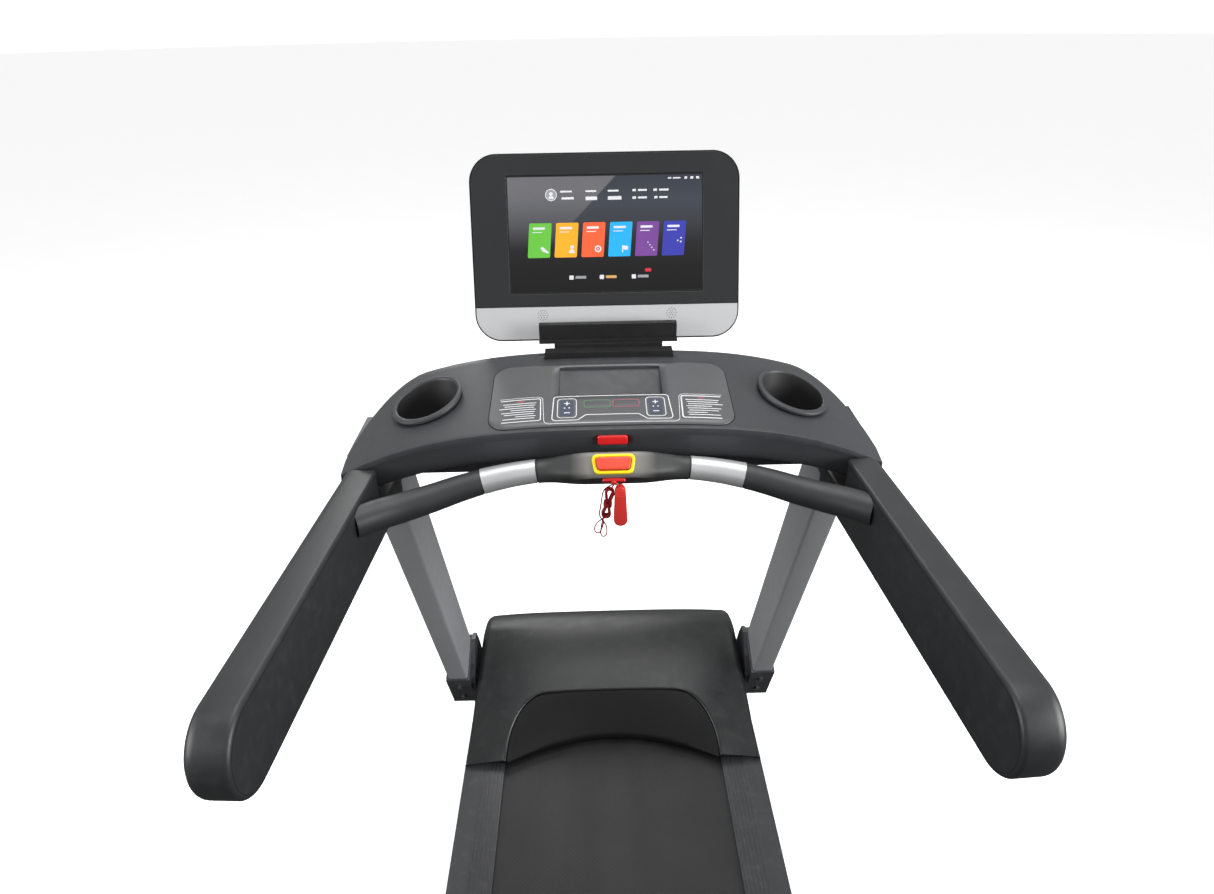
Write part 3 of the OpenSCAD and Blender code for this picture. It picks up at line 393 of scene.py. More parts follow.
def bevel(o, width, segments, angle):
    m = o.modifiers.new("bevel", "BEVEL")
    m.width, m.segments, m.limit_method, m.angle_limit = width * MM, segments, "ANGLE", radians(angle)
    return m


def cut(o, *tools):
    """Takes closed helper meshes away from o, and removes the helpers."""
    for t in tools:
        m = o.modifiers.new("cut", "BOOLEAN")
        m.operation, m.object, m.solver = "DIFFERENCE", t, "EXACT"
    bpy.context.view_layer.update()
    done = bpy.data.meshes.new_from_object(o.evaluated_get(bpy.context.evaluated_depsgraph_get()))
    o.modifiers.clear()
    o.data = done
    for t in tools:
        bpy.data.objects.remove(t)


def helper(verts, faces):
    """A closed mesh for cut() to take away."""
    me = bpy.data.meshes.new("helper")
    me.from_pydata([[c * MM for c in v] for v in verts], [], faces)
    bm = bmesh.new()
    bm.from_mesh(me)
    bmesh.ops.recalc_face_normals(bm, faces=bm.faces)
    bm.to_mesh(me)
    bm.free()
    o = bpy.data.objects.new("helper", me)
    bpy.context.scene.collection.objects.link(o)
    return o


def spread(a, b, n):
    """n + 1 numbers from a to b."""
    return [a + (b - a) * i / n for i in range(n + 1)]


def grid(rows, wrap=False, first=False, last=False, skip=None):
    """Faces over rows of points. wrap joins each row's ends; first and last close the end rows."""
    m, n = len(rows), len(rows[0])
    verts = [p for row in rows for p in row]
    faces = []
    for i in range(m - 1):
        for j in range(n if wrap else n - 1):
            k = (j + 1) % n
            if not (skip and skip(i, j)):
                faces.append((i * n + j, i * n + k, (i + 1) * n + k, (i + 1) * n + j))
    if first:
        faces.append(tuple(range(n)))
    if last:
        faces.append(tuple(range((m - 1) * n, m * n)))
    return verts, faces


def closed(rows):
    """Rings of points as a closed solid."""
    return grid(rows, wrap=True, first=True, last=True)


def add_up(*parts):
    """Several (verts, faces) as one."""
    verts, faces = [], []
    for v, f in parts:
        faces += [tuple(i + len(verts) for i in face) for face in f]
        verts += list(v)
    return verts, faces


def round_poly(points, r, n=6):
    """A polygon with arcs for corners; r is one radius or one for each corner."""
    out = []
    for i, p in enumerate(points):
        ri = r[i] if isinstance(r, (list, tuple)) else r
        p = Vector(p)
        if not ri:
            out.append(p)
            continue
        u = (Vector(points[i - 1]) - p).normalized()
        v = (Vector(points[(i + 1) % len(points)]) - p).normalized()
        half = u.angle(v) / 2
        c = p + (u + v).normalized() * ri / sin(half)
        s, e = p + u * ri / tan(half) - c, p + v * ri / tan(half) - c
        a0 = atan2(s.y, s.x)
        turn = (atan2(e.y, e.x) - a0 + pi) % (2 * pi) - pi
        out += [c + ri * Vector((cos(a0 + turn * k / n), sin(a0 + turn * k / n))) for k in range(n + 1)]
    return [tuple(p) for p in out]


def rect(w, h, r=0.0, at=(0, 0), n=6):
    x, y = at
    return round_poly([(x - w / 2, y - h / 2), (x + w / 2, y - h / 2), (x + w / 2, y + h / 2),
                       (x - w / 2, y + h / 2)], r, n)


def disc(r, at, n):
    return [(at[0] + r * cos(2 * pi * k / n), at[1] + r * sin(2 * pi * k / n)) for k in range(n)]


def area(loop):
    return sum(loop[i - 1][0] * loop[i][1] - loop[i][0] * loop[i - 1][1] for i in range(len(loop))) / 2


def inset(loop, d):
    """The loop moved d to its left at each corner."""
    out = []
    for i, p in enumerate(loop):
        p = Vector(p)
        a, b = (p - Vector(loop[i - 1])).normalized(), (Vector(loop[(i + 1) % len(loop)]) - p).normalized()
        na, nb = Vector((-a.y, a.x)), Vector((-b.y, b.x))
        out.append(tuple(p + (na + nb) * d / max(.2, 1 + na.dot(nb))))
    return out


def rounded(t0, t1, r0=0.0, r1=0.0, n=3):
    """Levels (inset, height) of a slab from t0 up to t1 whose edges have radius r0 and r1."""
    low = [(r0 * (1 - sin(a)), t0 + r0 * (1 - cos(a))) for a in spread(0, pi / 2, n)] if r0 else [(0, t0)]
    high = [(r1 * (1 - cos(a)), t1 - r1 * (1 - sin(a))) for a in spread(0, pi / 2, n)] if r1 else [(0, t1)]
    return low + high


def slab(loops, levels):
    """A closed slab over an outline with holes, as points (u, v, height)."""
    loops = [loop if (area(loop) > 0) == (i == 0) else loop[::-1] for i, loop in enumerate(loops)]
    parts = [grid([[(*p, h) for p in inset(loop, d)] for d, h in levels], wrap=True) for loop in loops]
    verts, faces = add_up(*parts)
    starts, total = [], 0
    for part in parts:
        starts.append(total)
        total += len(part[0])
    for end in (0, len(levels) - 1):
        rings = [[s + end * len(loop) + k for k in range(len(loop))] for s, loop in zip(starts, loops)]
        flat = [i for ring in rings for i in ring]
        tris = tessellate_polygon([[Vector((*verts[i][:2], 0)) for i in ring] for ring in rings])
        faces += [tuple(flat[i] for i in t) for t in tris]
    return verts, faces


def moved(part, place):
    return [place(*v) for v in part[0]], part[1]


def sweep(path, radius, n):
    """A closed round tube along points; radius is a number or one for each point."""
    rows = []
    pts = [Vector(p) for p in path]
    side = None
    for i, p in enumerate(pts):
        d = (pts[min(i + 1, len(pts) - 1)] - pts[max(i - 1, 0)]).normalized()
        side = d.cross(Vector((0, 0, 1)) if side is None else side.cross(d)).normalized()
        if i == 0 and side.length < .5:
            side = d.orthogonal().normalized()
        up = side.cross(d)
        r = radius[i] if isinstance(radius, (list, tuple)) else radius
        around = [2 * pi * k / n for k in range(n)]
        rows.append([tuple(p + r * (cos(a) * side + sin(a) * up)) for a in around])
    return closed(rows)


def smooth_path(points, n):
    """Catmull-Rom points between the given ones; each point is a tuple of numbers."""
    out = []
    for i in range(len(points) - 1):
        p = [Vector(points[max(0, min(len(points) - 1, i + k))]) for k in (-1, 0, 1, 2)]
        for s in range(n):
            t = s / n
            second = 2 * p[0] - 5 * p[1] + 4 * p[2] - p[3]
            third = 3 * p[1] - p[0] - 3 * p[2] + p[3]
            out.append(tuple(.5 * (2 * p[1] + (p[2] - p[0]) * t + second * t * t + third * t ** 3)))
    return out + [tuple(points[-1])]


def stroke(points, width, closed, step):
    """A flat band along 2D points, as rows (left, right), cut into short lengths."""
    pts = [Vector(p) for p in points] + ([Vector(points[0])] if closed else [])
    fine = [pts[0]]
    for a, b in zip(pts, pts[1:]):
        n = max(1, round((b - a).length / step))
        fine += [a + (b - a) * k / n for k in range(1, n + 1)]
    rows = []
    for i, p in enumerate(fine):
        a = fine[i - 1] if i else (fine[-2] if closed else p)
        b = fine[i + 1] if i < len(fine) - 1 else (fine[1] if closed else p)
        d1 = (p - a).normalized() if (p - a).length else (b - p).normalized()
        d2 = (b - p).normalized() if (b - p).length else d1
        n1, n2 = Vector((-d1.y, d1.x)), Vector((-d2.y, d2.x))
        off = (n1 + n2) * (width / 2) / max(.4, 1 + n1.dot(n2))
        rows.append((tuple(p + off), tuple(p - off)))
    return rows


def ribbon(points, width, place, thick, closed, step):
    """stroke() as a thin closed solid: place(u, v, height) puts it on its surface."""
    rows = [[place(*a, 0), place(*b, 0), place(*b, thick), place(*a, thick)]
            for a, b in stroke(points, width, closed, step)]
    return grid(rows, wrap=True, first=not closed, last=not closed)


def patch(loop, place, thick):
    """A thin flat shape on a surface."""
    return moved(slab([loop], [(0, 0), (0, thick)]), place)


def joined(name, items, body="chassis", slot=None):
    """One piece out of (part, material) pairs."""
    mats, kinds = [], []
    for part, m in items:
        if m not in mats:
            mats.append(m)
        kinds += [mats.index(m)] * len(part[1])
    verts, faces = add_up(*(part for part, _ in items))
    return make(name, verts, faces, mats, body, slot or mats[0], smooth=30, kinds=kinds)


# ---------- safety lanyard ----------

CORD_D = 2.0
# Half the height of the hank's straight runs
HANK_HALF = 17.8
FROM_KEY = [(0, 134, 1211.6), (-.4, 132.6, 1210.2), (-1.6, 132.2, 1208.2), (-3.2, 133.2, 1206),
            (-4.6, 136, 1203.4), (-5.4, 140, 1201), (-5.6, 144.4, 1198.6), (-4, 145, 1196.2),
            (-1.2, 145.3, 1192.4)]
LOOSE_LOOPS = [(-6.4, 154.2, 1148), (-9.4, 154, 1144.6), (-14, 153.6, 1142.2), (-20.5, 153, 1138.6),
               (-25.2, 152.6, 1134.2), (-28.8, 152.2, 1127.4), (-28.6, 151.8, 1120.6), (-24, 151.5, 1117.4),
               (-20.2, 151.4, 1120.8), (-19.2, 151.4, 1127.4), (-18.2, 151.3, 1134), (-16.8, 151.2, 1140.5),
               (-16.5, 150, 1144), (-16.3, 147.1, 1145.6), (-16.1, 144.2, 1144), (-15.9, 143, 1140.4),
               (-17.2, 143.2, 1134.6), (-19.6, 143.8, 1127.6), (-20, 144.4, 1120.6), (-16.8, 145, 1115.4),
               (-12.4, 145.6, 1117.6), (-11, 146.2, 1123.6), (-11.4, 147, 1130), (-13.4, 147.8, 1136),
               (-17, 148.6, 1141.6), (-20.6, 149.2, 1147.4), (-21.4, 149.8, 1154)]
TO_CLIP = [(-4, 150.2, 1199.6), (0, 150.1, 1200.8), (4.2, 149.1, 1201.1), (7.2, 147, 1200.8),
           (8.7, 145, 1200.3), (9, 143, 1200)]


def on_hank(u, y, w):
    """u across, y behind and w up the leaning hank, from its middle."""
    lean = radians(9)
    return (-8.8 + u * cos(lean) + w * sin(lean), 149.8 + y, 1171 - u * sin(lean) + w * cos(lean))


def lanyard_path():
    """From the key, round the hank's turns, through the loose loops and on to the clip."""
    pts = list(FROM_KEY)
    # Each turn's place behind the hank's middle and its radius at the ends
    layers = [(-4.4, 6.2), (-4.2, 4.1), (-2.2, 6.2), (-2.1, 4.1), (0, 6.2), (0, 4.1), (2.1, 6.2), (2.2, 4.1),
              (4.2, 4.1), (4.4, 6.2)]
    # How far the tie has drawn a run in, from 0 to 1, at heights along it
    runs = [(HANK_HALF, 0), (12, .35), (6, .85), (0, 1), (-6, 1), (-12, .55), (-HANK_HALF, 0)]

    def run(y, r, side, stops):
        waist = 3.15 if r > 5 else 1.05
        return [on_hank(side * (r + (waist - r) * g), y, w) for w, g in stops]
    for (y, r), after in zip(layers, layers[1:] + [None]):
        pts += run(y, r, 1, runs)
        if after:
            pts += [on_hank(r * cos(a), y, -HANK_HALF - r * sin(a)) for a in spread(0, pi, 4)[1:-1]]
            pts += run(y, r, -1, runs[::-1])
            for f in spread(0, 1, 4)[1:-1]:
                rr = r + (after[1] - r) * f
                pts.append(on_hank(-rr * cos(pi * f), y + (after[0] - y) * f, HANK_HALF + rr * sin(pi * f)))
    pts += LOOSE_LOOPS
    pts += [on_hank(*q) for q in ((-9.6, 0, -12), (-9.6, 0, 0), (-9.6, 0, 14), (-8, .2, 21), (-3.5, .2, 26))]
    return pts + TO_CLIP


def make_lanyard():
    path = lanyard_path()
    curve = bpy.data.curves.new("lanyard_cord", "CURVE")
    curve.dimensions, curve.bevel_depth, curve.bevel_resolution = "3D", CORD_D / 2 * MM, 3
    spline = curve.splines.new("POLY")
    fine = smooth_path(path, 3)
    spline.points.add(len(fine) - 1)
    for p, q in zip(spline.points, fine):
        p.co = (*(c * MM for c in q), 1)
    curve.use_fill_caps = True
    curve.materials.append(M["cord_red"])
    o = bpy.data.objects.new("lanyard_cord", curve)
    bpy.context.scene.collection.objects.link(o)
    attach(o, "safety_key")
    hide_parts("lanyard", "lanyard_hank")
    length = sum((Vector(a) - Vector(b)).length for a, b in zip(fine, fine[1:])) * MM
    return o, path, length


def make_tie():
    """Three turns of cord that hold the hank at its waist."""
    loop = rect(10.3, 12.8, 2.2, n=5)
    turns = []
    for w in (-4.2, -2.1, 0):
        levels = [(-cos(a), w + sin(a)) for a in spread(0, 2 * pi, 10)]
        turns.append(moved(grid([[(*q, h) for q in inset(loop, d)] for d, h in levels], wrap=True), on_hank))
    return make("lanyard_tie", *add_up(*turns), "cord_red", "safety_key", smooth=180)


# ---------- motor hood ----------

# Along the hood: its near edge, the end of its portal, its highest line and its far edge
HOOD_NEAR, HOOD_PORTAL, HOOD_CREST, HOOD_FAR = 555, 695, 890, 1005
HOOD_Z = 338


def hood_w(y):
    """Half width."""
    return 357 - 26 * (y - HOOD_NEAR) / 450


def hood_mid(y):
    """Height of the middle."""
    if y < HOOD_CREST:
        return HOOD_Z - 128 * ((HOOD_CREST - y) / 335) ** 1.75
    return HOOD_Z - 60 * ((y - HOOD_CREST) / 115) ** 3


def hood_low(y):
    return 186.2 if y < 704 else 162.2


def hood_edge(y):
    """Height of the shoulders."""
    u = max(0, (HOOD_CREST - y) / 335)
    return max(hood_low(y) + 8, hood_mid(y) - 8 - 16 * u - 22 * sin(pi * min(1, u)))


def hood_top(x, y):
    return hood_mid(y) - (hood_mid(y) - hood_edge(y)) * (abs(x) / hood_w(y)) ** 3


def portal_w(y):
    """Half width of the portal."""
    u = max(0, min(1, (y - 560) / 135))
    return 160 + 98 * sqrt(1 - u * u)


def hood_ring(y, d=0.0, back=0.0):
    """The hood's section at y, shrunk by d, drawn at y less back, from the right foot to the left."""
    w, low = hood_w(y) - d, hood_low(y)
    e = hood_edge(y) - d
    r = min(22, (e - low) * .7)
    p = portal_w(y)
    half = [(w, low), (w, low + (e - r - low) * .5)]
    half += [(w - r + r * cos(a), e - r + r * sin(a)) for a in spread(0, pi / 2, 8)]
    # Blend from the shoulder's own height to the crown's curve
    for t in spread(0, 1, 8)[1:]:
        x = (w - r) + (p - (w - r)) * t
        lift = (e - hood_top(w - r, y)) * (1 - t) ** 3
        half.append((x, hood_top(x, y) + lift - d))
    crown = [(x, hood_top(x, y) - d) for x in spread(p, 0, 12)[1:]]
    half += crown
    pts = half + [(-x, z) for x, z in half[-2::-1]]
    return [(x, y - back, z) for x, z in pts]


def make_hood():
    round_r = 5
    far = HOOD_FAR - round_r
    ys = [HOOD_NEAR, 557, 560] + [560 + 135 * sin(a) for a in spread(0, pi / 2, 14)][1:-1]
    ys += [HOOD_PORTAL, 699, 703.9, 704.1, 712] + spread(724, HOOD_CREST, 14)
    ys += spread(900, 990, 10) + [996, far]
    rows = [hood_ring(y) for y in ys]
    for a in spread(0, pi / 2, 4)[1:]:
        rows.append(hood_ring(far, round_r * (1 - cos(a)), -round_r * sin(a)))
    n = len(rows[0])
    # Points from a foot to the portal's side
    inner = 18

    def hole(i, j):
        return rows[i][0][1] < HOOD_PORTAL - .1 and inner <= j < n - 1 - inner
    verts, faces = grid(rows, skip=hole, last=True)
    o = make("hood_shell", verts, faces, "hood_plastic", replaces="motor_hood", smooth=50)
    solidify(o, 3.6)
    # Screws through the shell's feet
    parts = []
    for s in (-1, 1):
        for y in (640, 800, 960):
            x = hood_w(y)
            parts.append(screw_head((s * (x + .1), y, hood_low(y) + 10), (s, 0, 0), 4.2))
    joined("hood_screws", [(p, "zinc_bolt") for p in parts])


def screw_head(at, direction, r):
    """A domed screw head with a six-sided socket."""
    h, n = 1.6, 24
    d = Vector(direction).normalized()
    u = d.orthogonal().normalized()
    v = d.cross(u)
    at = Vector(at)

    def put(x, y, z):
        return tuple(at + u * x + v * y + d * z)
    rings = []
    for rr, z in ((r, -.4), (r, h * .35), (r * .86, h * .8), (r * .66, h)):
        rings.append([put(x, y, z) for x, y in disc(rr, (0, 0), n)])
    for scale, z in ((.5, h), (.5, h * .2)):
        ring = []
        for k in range(n):
            a = 2 * pi * k / n
            six = cos(pi / 6) / cos((a % (pi / 3)) - pi / 6)
            ring.append(put(r * scale * six * cos(a), r * scale * six * sin(a), z))
        rings.append(ring)
    return closed(rings)


def make_inset():
    ts = [sin(a) for a in spread(-pi / 2, pi / 2, 44)]

    def point(t, v):
        low = 630 - 75 * t * t
        y = low + max(0, v) * (697 - low)
        x = t * (portal_w(y) - 1.5)
        dish = 5 + 46 * (1 - t * t) * (1 - max(0, v)) ** 1.2
        if v < 0:
            f = -v
            return (x, low + 4 * f, hood_top(x, y) - dish + (186 + 1.5 * abs(t) - hood_top(x, y) + dish) * f)
        return (x, y, hood_top(x, y) - dish)
    vs = [-1, -.6, -.25, -.08] + spread(0, 1, 16)
    verts, faces = grid([[point(t, v) for t in ts] for v in vs])
    solidify(make("hood_inset_panel", verts, faces, "inset_plastic", replaces="hood_inset", smooth=60), 2.6)


# ---------- uprights ----------

UPRIGHT_LEAN = radians(26.5)
UPRIGHT_X, UPRIGHT_Y, UPRIGHT_Z = 391, 874, 162


def make_upright(s):
    """A leaning tube with level ends: its outside, then its inside."""
    c, k = cos(UPRIGHT_LEAN), sin(UPRIGHT_LEAN)

    def place(x, y, z):
        return (s * (UPRIGHT_X + x), UPRIGHT_Y + y * c - z * k, UPRIGHT_Z + y * k + z * c)
    rings = []
    for loop in (rect(50, 115, 6, n=5), rect(44, 109, 3.5, n=5)):
        for height in (166, 1165):
            rings.append([place(x, y, (height - UPRIGHT_Z - y * k) / c) for x, y in loop])
    verts, faces = grid([rings[0], rings[1], rings[3], rings[2], rings[0]], wrap=True)
    side = "left" if s < 0 else "right"
    make("upright_tube_" + side, verts, faces, "upright_paint", replaces="upright_" + side, smooth=50)


# ---------- arms ----------

ARM_TURN = radians(3.64)
ARM_X, ARM_Y, ARM_Z = 350, 145, 1154


def on_arm(s):
    """y along the arm, z up and x out from its inner face."""
    c, k = cos(ARM_TURN), sin(ARM_TURN)

    def place(y, z, x):
        return (s * (ARM_X + x * c - y * k), ARM_Y + x * k + y * c, ARM_Z + z)
    return place


def make_arm(s):
    side = "left" if s < 0 else "right"
    front, r = 155, 56
    # Middle of the round end, and the step that the console sits on
    back = -327 - ARM_Y + r
    step_y, step_z = 47, -4
    around = spread(pi / 2, 3 * pi / 2, 40)
    outline = [(front, -r), (front, -30), (front, step_z), (step_y, step_z), (step_y, r)]
    outline += [(y, r) for y in spread(step_y, back, 16)[1:-1]]
    outline += [(back + r * cos(a), r * sin(a)) for a in around]
    outline += [(y, -r) for y in spread(back, front, 20)[1:-1]]
    make("arm_shell_" + side, *moved(slab([outline], rounded(0, 50, 6, 15, n=6)), on_arm(s)), "arm_plastic",
         replaces="arm_" + side, smooth=50)
    # Seam of the cover that closes the inner face
    in_r, edge = r - 6, front - 28
    seam = [(back + in_r * cos(a), in_r * sin(a)) for a in around[::2]]
    seam += [(edge, -in_r), (edge, step_z - 6), (step_y - 6, step_z - 6), (step_y - 6, in_r)]
    gap = ribbon(seam, 1.0, lambda y, z, x: on_arm(s)(y, z, -x - .02), .05, closed=True, step=30)
    make("arm_seam_" + side, *gap, "black_gap", slot="arm_plastic")


# ---------- handlebar ----------

# Place and radius of the bar, from the right arm to the pod
BAR = [(362, 93.4, 1182, 22), (352, 100, 1182, 22), (326, 117, 1182, 22), (300, 130, 1183, 21.5),
       (260, 144, 1189, 20.5), (225, 155, 1196, 19.5), (189, 163, 1203, 18.5), (150, 167, 1210, 17.5),
       (111, 168.6, 1215, 17), (80, 168.4, 1217, 17), (44, 168, 1217, 17)]
# Where the pulse plate starts and ends
PLATE_IN, PLATE_OUT = 111, 189


def plate_skin(mid, s):
    """Stretch of the bar with a bare metal plate over its upper side and plastic below, and its materials."""
    half = radians(112)
    ring = [(a, .5) for a in spread(-half, half, 24)] + [(a, -.3) for a in spread(half, 2 * pi - half, 14)]
    rows = []
    for i, p in enumerate(mid):
        ahead, behind = Vector(mid[min(i + 1, len(mid) - 1)][:3]), Vector(mid[max(i - 1, 0)][:3])
        along = (ahead - behind).normalized()
        up = Vector((0, -.45, .89))
        up = (up - up.dot(along) * along).normalized()
        side = along.cross(up)
        rows.append([Vector(p[:3]) + (p[3] + h) * (cos(a) * up + sin(a) * side) for a, h in ring])
    part = closed([[(s * q.x, q.y, q.z) for q in row] for row in rows])
    kinds = [0 if i % len(ring) < 24 else 1 for i in range(len(part[1]) - 2)] + [0, 0]
    return part, kinds


def make_handlebar():
    fine = smooth_path(BAR, 8)
    outer = [p for p in fine if p[0] > 60]
    mid = [p for p in fine if PLATE_IN <= p[0] <= PLATE_OUT + .1]
    grips, plates, kinds = [], [], []
    for s in (-1, 1):
        radii = [p[3] - (1.2 if PLATE_IN <= p[0] <= PLATE_OUT else 0) for p in outer]
        grips.append(sweep([(s * p[0], p[1], p[2]) for p in outer], radii, 36))
        part, kind = plate_skin(mid, s)
        plates.append(part)
        kinds += kind
    make("grip_skin", *add_up(*grips), "grip_plastic", replaces="grip_cover", smooth=50)
    make("pulse_plate_skins", *add_up(*plates), ["silver_plate", "grip_plastic"], replaces="pulse_plates",
         smooth=50, kinds=kinds)


# ---------- stop pod ----------

# Middle of the stop button's ring up the pod's face, and of the key down its front
RING_MID, KEY_Z = -3, 20.5


def on_pod(x, y, z):
    """y up the pod's sloping face and z out of it, from the bar's middle."""
    c = cos(pi / 4)
    return (x, 168 + (y - z) * c, 1217 + (y + z) * c)


def pod_section(x):
    """Half size, its shift, bottom, top and squareness of the pod's section at x."""
    bar_r = 17.1
    t = min(1, max(0, (abs(x) - 36) / 70))
    s = 1 - t * t * (3 - 2 * t)
    return bar_r + 2.4 * s, -1.5 * s, -bar_r - .3 * s, bar_r + 14.9 * s ** 1.15, 2 + 3.2 * s


def make_pod():
    rows, n = [], 48
    for x in spread(-108, 108, 52):
        a, shift, lo, hi, e = pod_section(x)
        # The bar sinks a little towards its ends
        drop = 2 * max(0, abs(x) - 80) / 31
        ring = []
        for k in range(n):
            g = 2 * pi * k / n
            u = abs(cos(g)) ** (2 / e) * (1 if cos(g) > 0 else -1)
            v = abs(sin(g)) ** (2 / e) * (1 if sin(g) > 0 else -1)
            px, py, pz = on_pod(x, shift + a * u, (hi + lo) / 2 + (hi - lo) / 2 * v)
            ring.append((px, py, pz - drop))
        rows.append(ring)
    o = make("pod_shell", *closed(rows), "pod_plastic",
             replaces="stop_pod", smooth=50)
    well = slab([rect(54, 23, 6, at=(0, RING_MID))], [(0, 16), (0, 60)])
    socket = slab([rect(16.8, 5.8, .8, at=(0, KEY_Z))], [(0, 16.6), (0, 40)])
    cut(o, helper(*moved(well, on_pod)), helper(*moved(socket, lambda x, z, d: on_pod(x, -d, z))))
    o.data.shade_smooth()
    o.data.set_sharp_from_angle(angle=radians(50))


def stop_outline(w, h, r):
    """A rounded shape that is narrower at its foot."""
    return round_poly([(-w * .43, -h / 2), (w * .43, -h / 2), (w / 2, h / 2), (-w / 2, h / 2)], r)


def make_stop():
    def face(x, y, z):
        return on_pod(x, y + RING_MID, z)

    def front(x, z, d):
        return on_pod(x, -d, z + KEY_Z)
    ring = slab([stop_outline(64, 29.5, 8), stop_outline(53, 19.6, 5)], rounded(31.2, 36, 0, 1.6))
    make("stop_ring_trim", *moved(ring, face), "signal_yellow", replaces="stop_ring")
    top = slab([stop_outline(51.8, 18.4, 4.6)], rounded(24, 39, 0, 1.6, n=4))
    flange = slab([rect(52, 21, 5)], [(0, 22), (0, 25)])
    make("stop_button_cap", *moved(add_up(top, flange), face), "signal_orange", "stop_button",
         replaces="stop_button")
    block = slab([rect(44, 15, 4, at=(0, 1252.9))], rounded(0, 21, 0, 2.6, n=5))
    make("quick_stop_cap", *moved(block, lambda x, z, d: (x, 207 - d, z)), "signal_red", "quick_stop",
         replaces="quick_stop")
    plate = slab([rect(33, 9, 3)], rounded(21.4, 25.4, .6, 1.4))
    tang = slab([rect(16, 5, .8)], [(0, 17), (0, 21.8)])
    profile = [(4, 25), (4, 27.8), (3.4, 28.4), (2, 28.4), (1.4, 27.6)]
    rows = [[(*q, h) for q in disc(r, (0, 0), 24)] for r, h in profile]
    knob = closed(rows)
    make("safety_key_grip", *moved(add_up(plate, tang, knob), front), "signal_red", "safety_key",
         replaces="safety_key")


def make_clip():
    """The two halves of the clothing clip; gives the one that the cord is tied to."""
    cx, cz, pin_z = 9, 1174, 1186
    width, height = 20, 66
    pill = rect(width, height, width / 2 - .01, at=(cx, cz), n=10)

    def deep(x, z, y):
        """The halves narrow towards their tops."""
        return (cx + (x - cx) * (1 - .3 * max(0, (z - cz) / (height / 2))), y, z)
    body = moved(slab([pill], rounded(139, 143, .5, 1.8, n=4)), deep)
    pin = sweep([(cx - 8, 137, pin_z), (cx + 8, 137, pin_z)], 1.1, 16)
    ears = [moved(slab([rect(2.8, 4, .6, at=(x, pin_z))], [(0, 135.4), (0, 139.2)]), deep)
            for x in (cx - 7.6, cx + 7.6)]
    back = make("clip_shell", *add_up(body, pin, *ears), "clip_red", "safety_key",
                slot="signal_red", replaces="clip_body")
    jaw = moved(slab([pill], rounded(131, 135, 1.8, .5, n=4)), deep)
    # Ribs that a finger presses
    ribs = [sweep([(cx - w, 130.9, cz + z), (cx + w, 130.9, cz + z)], .7, 10)
            for z, w in ((26, 5.6), (23, 6.8), (20, 7.4), (17, 7.6))]
    teeth = [moved(slab([rect(12, 1.6, .3, at=(cx, cz + z + .8))], [(0, 134.9), (0, 138.6)]), deep)
             for z in (-27, -24)]
    sleeve = sweep([(cx - 5.8, 137, pin_z), (cx + 5.8, 137, pin_z)], 1.9, 16)
    make("clip_jaw_shell", *add_up(jaw, sleeve, *ribs, *teeth), "clip_red", "clip_jaw", slot="signal_red",
         replaces="clip_jaw")
    return back


# ---------- console ----------

# The front edge's place and height, the rise towards the back, and the depth in the middle
FRONT_Y, FRONT_Z, RISE, DEPTH = 188, 1270, .2, 205
LID_HALF, TRAY_HALF = 404, 402
# Half widths of the quick stop's opening, the phone rest and the screen's slot, which get their own columns
QUICK_HALF, REST_HALF, SLOT_HALF = 22.4, 79, 104
REST_NEAR, REST_FAR = 272, 347
SLOT_NEAR, SLOT_FAR = 374, 382
# Console lid's skin, down from its edges
EDGE = 9


def zt(x, y):
    """Height of the console's upper face."""
    return FRONT_Z + RISE * (y - FRONT_Y) - 77 * (abs(x) / 410) ** 3


def lip(x):
    """Front edge."""
    return FRONT_Y + 12 * (x / LID_HALF) ** 2


def rear(x):
    """Back edge, which rounds off from a half width of 300."""
    round_off = 1 if abs(x) <= 300 else (1 - ((abs(x) - 300) / 108) ** 1.8) ** .5556
    return FRONT_Y + DEPTH * round_off


def console_columns(w):
    half = {8, 16, QUICK_HALF, 32, 44, 56, 68, REST_HALF, 90, SLOT_HALF, w}
    half = sorted(half.union(spread(116, 300, 12), spread(312, w - 8, 8)))
    return [-x for x in half[::-1]] + [0] + half


def over(xs, i, half):
    """Whether the strip between columns i and i + 1 is inside a half width."""
    return abs(xs[i] + xs[i + 1]) < 2 * half


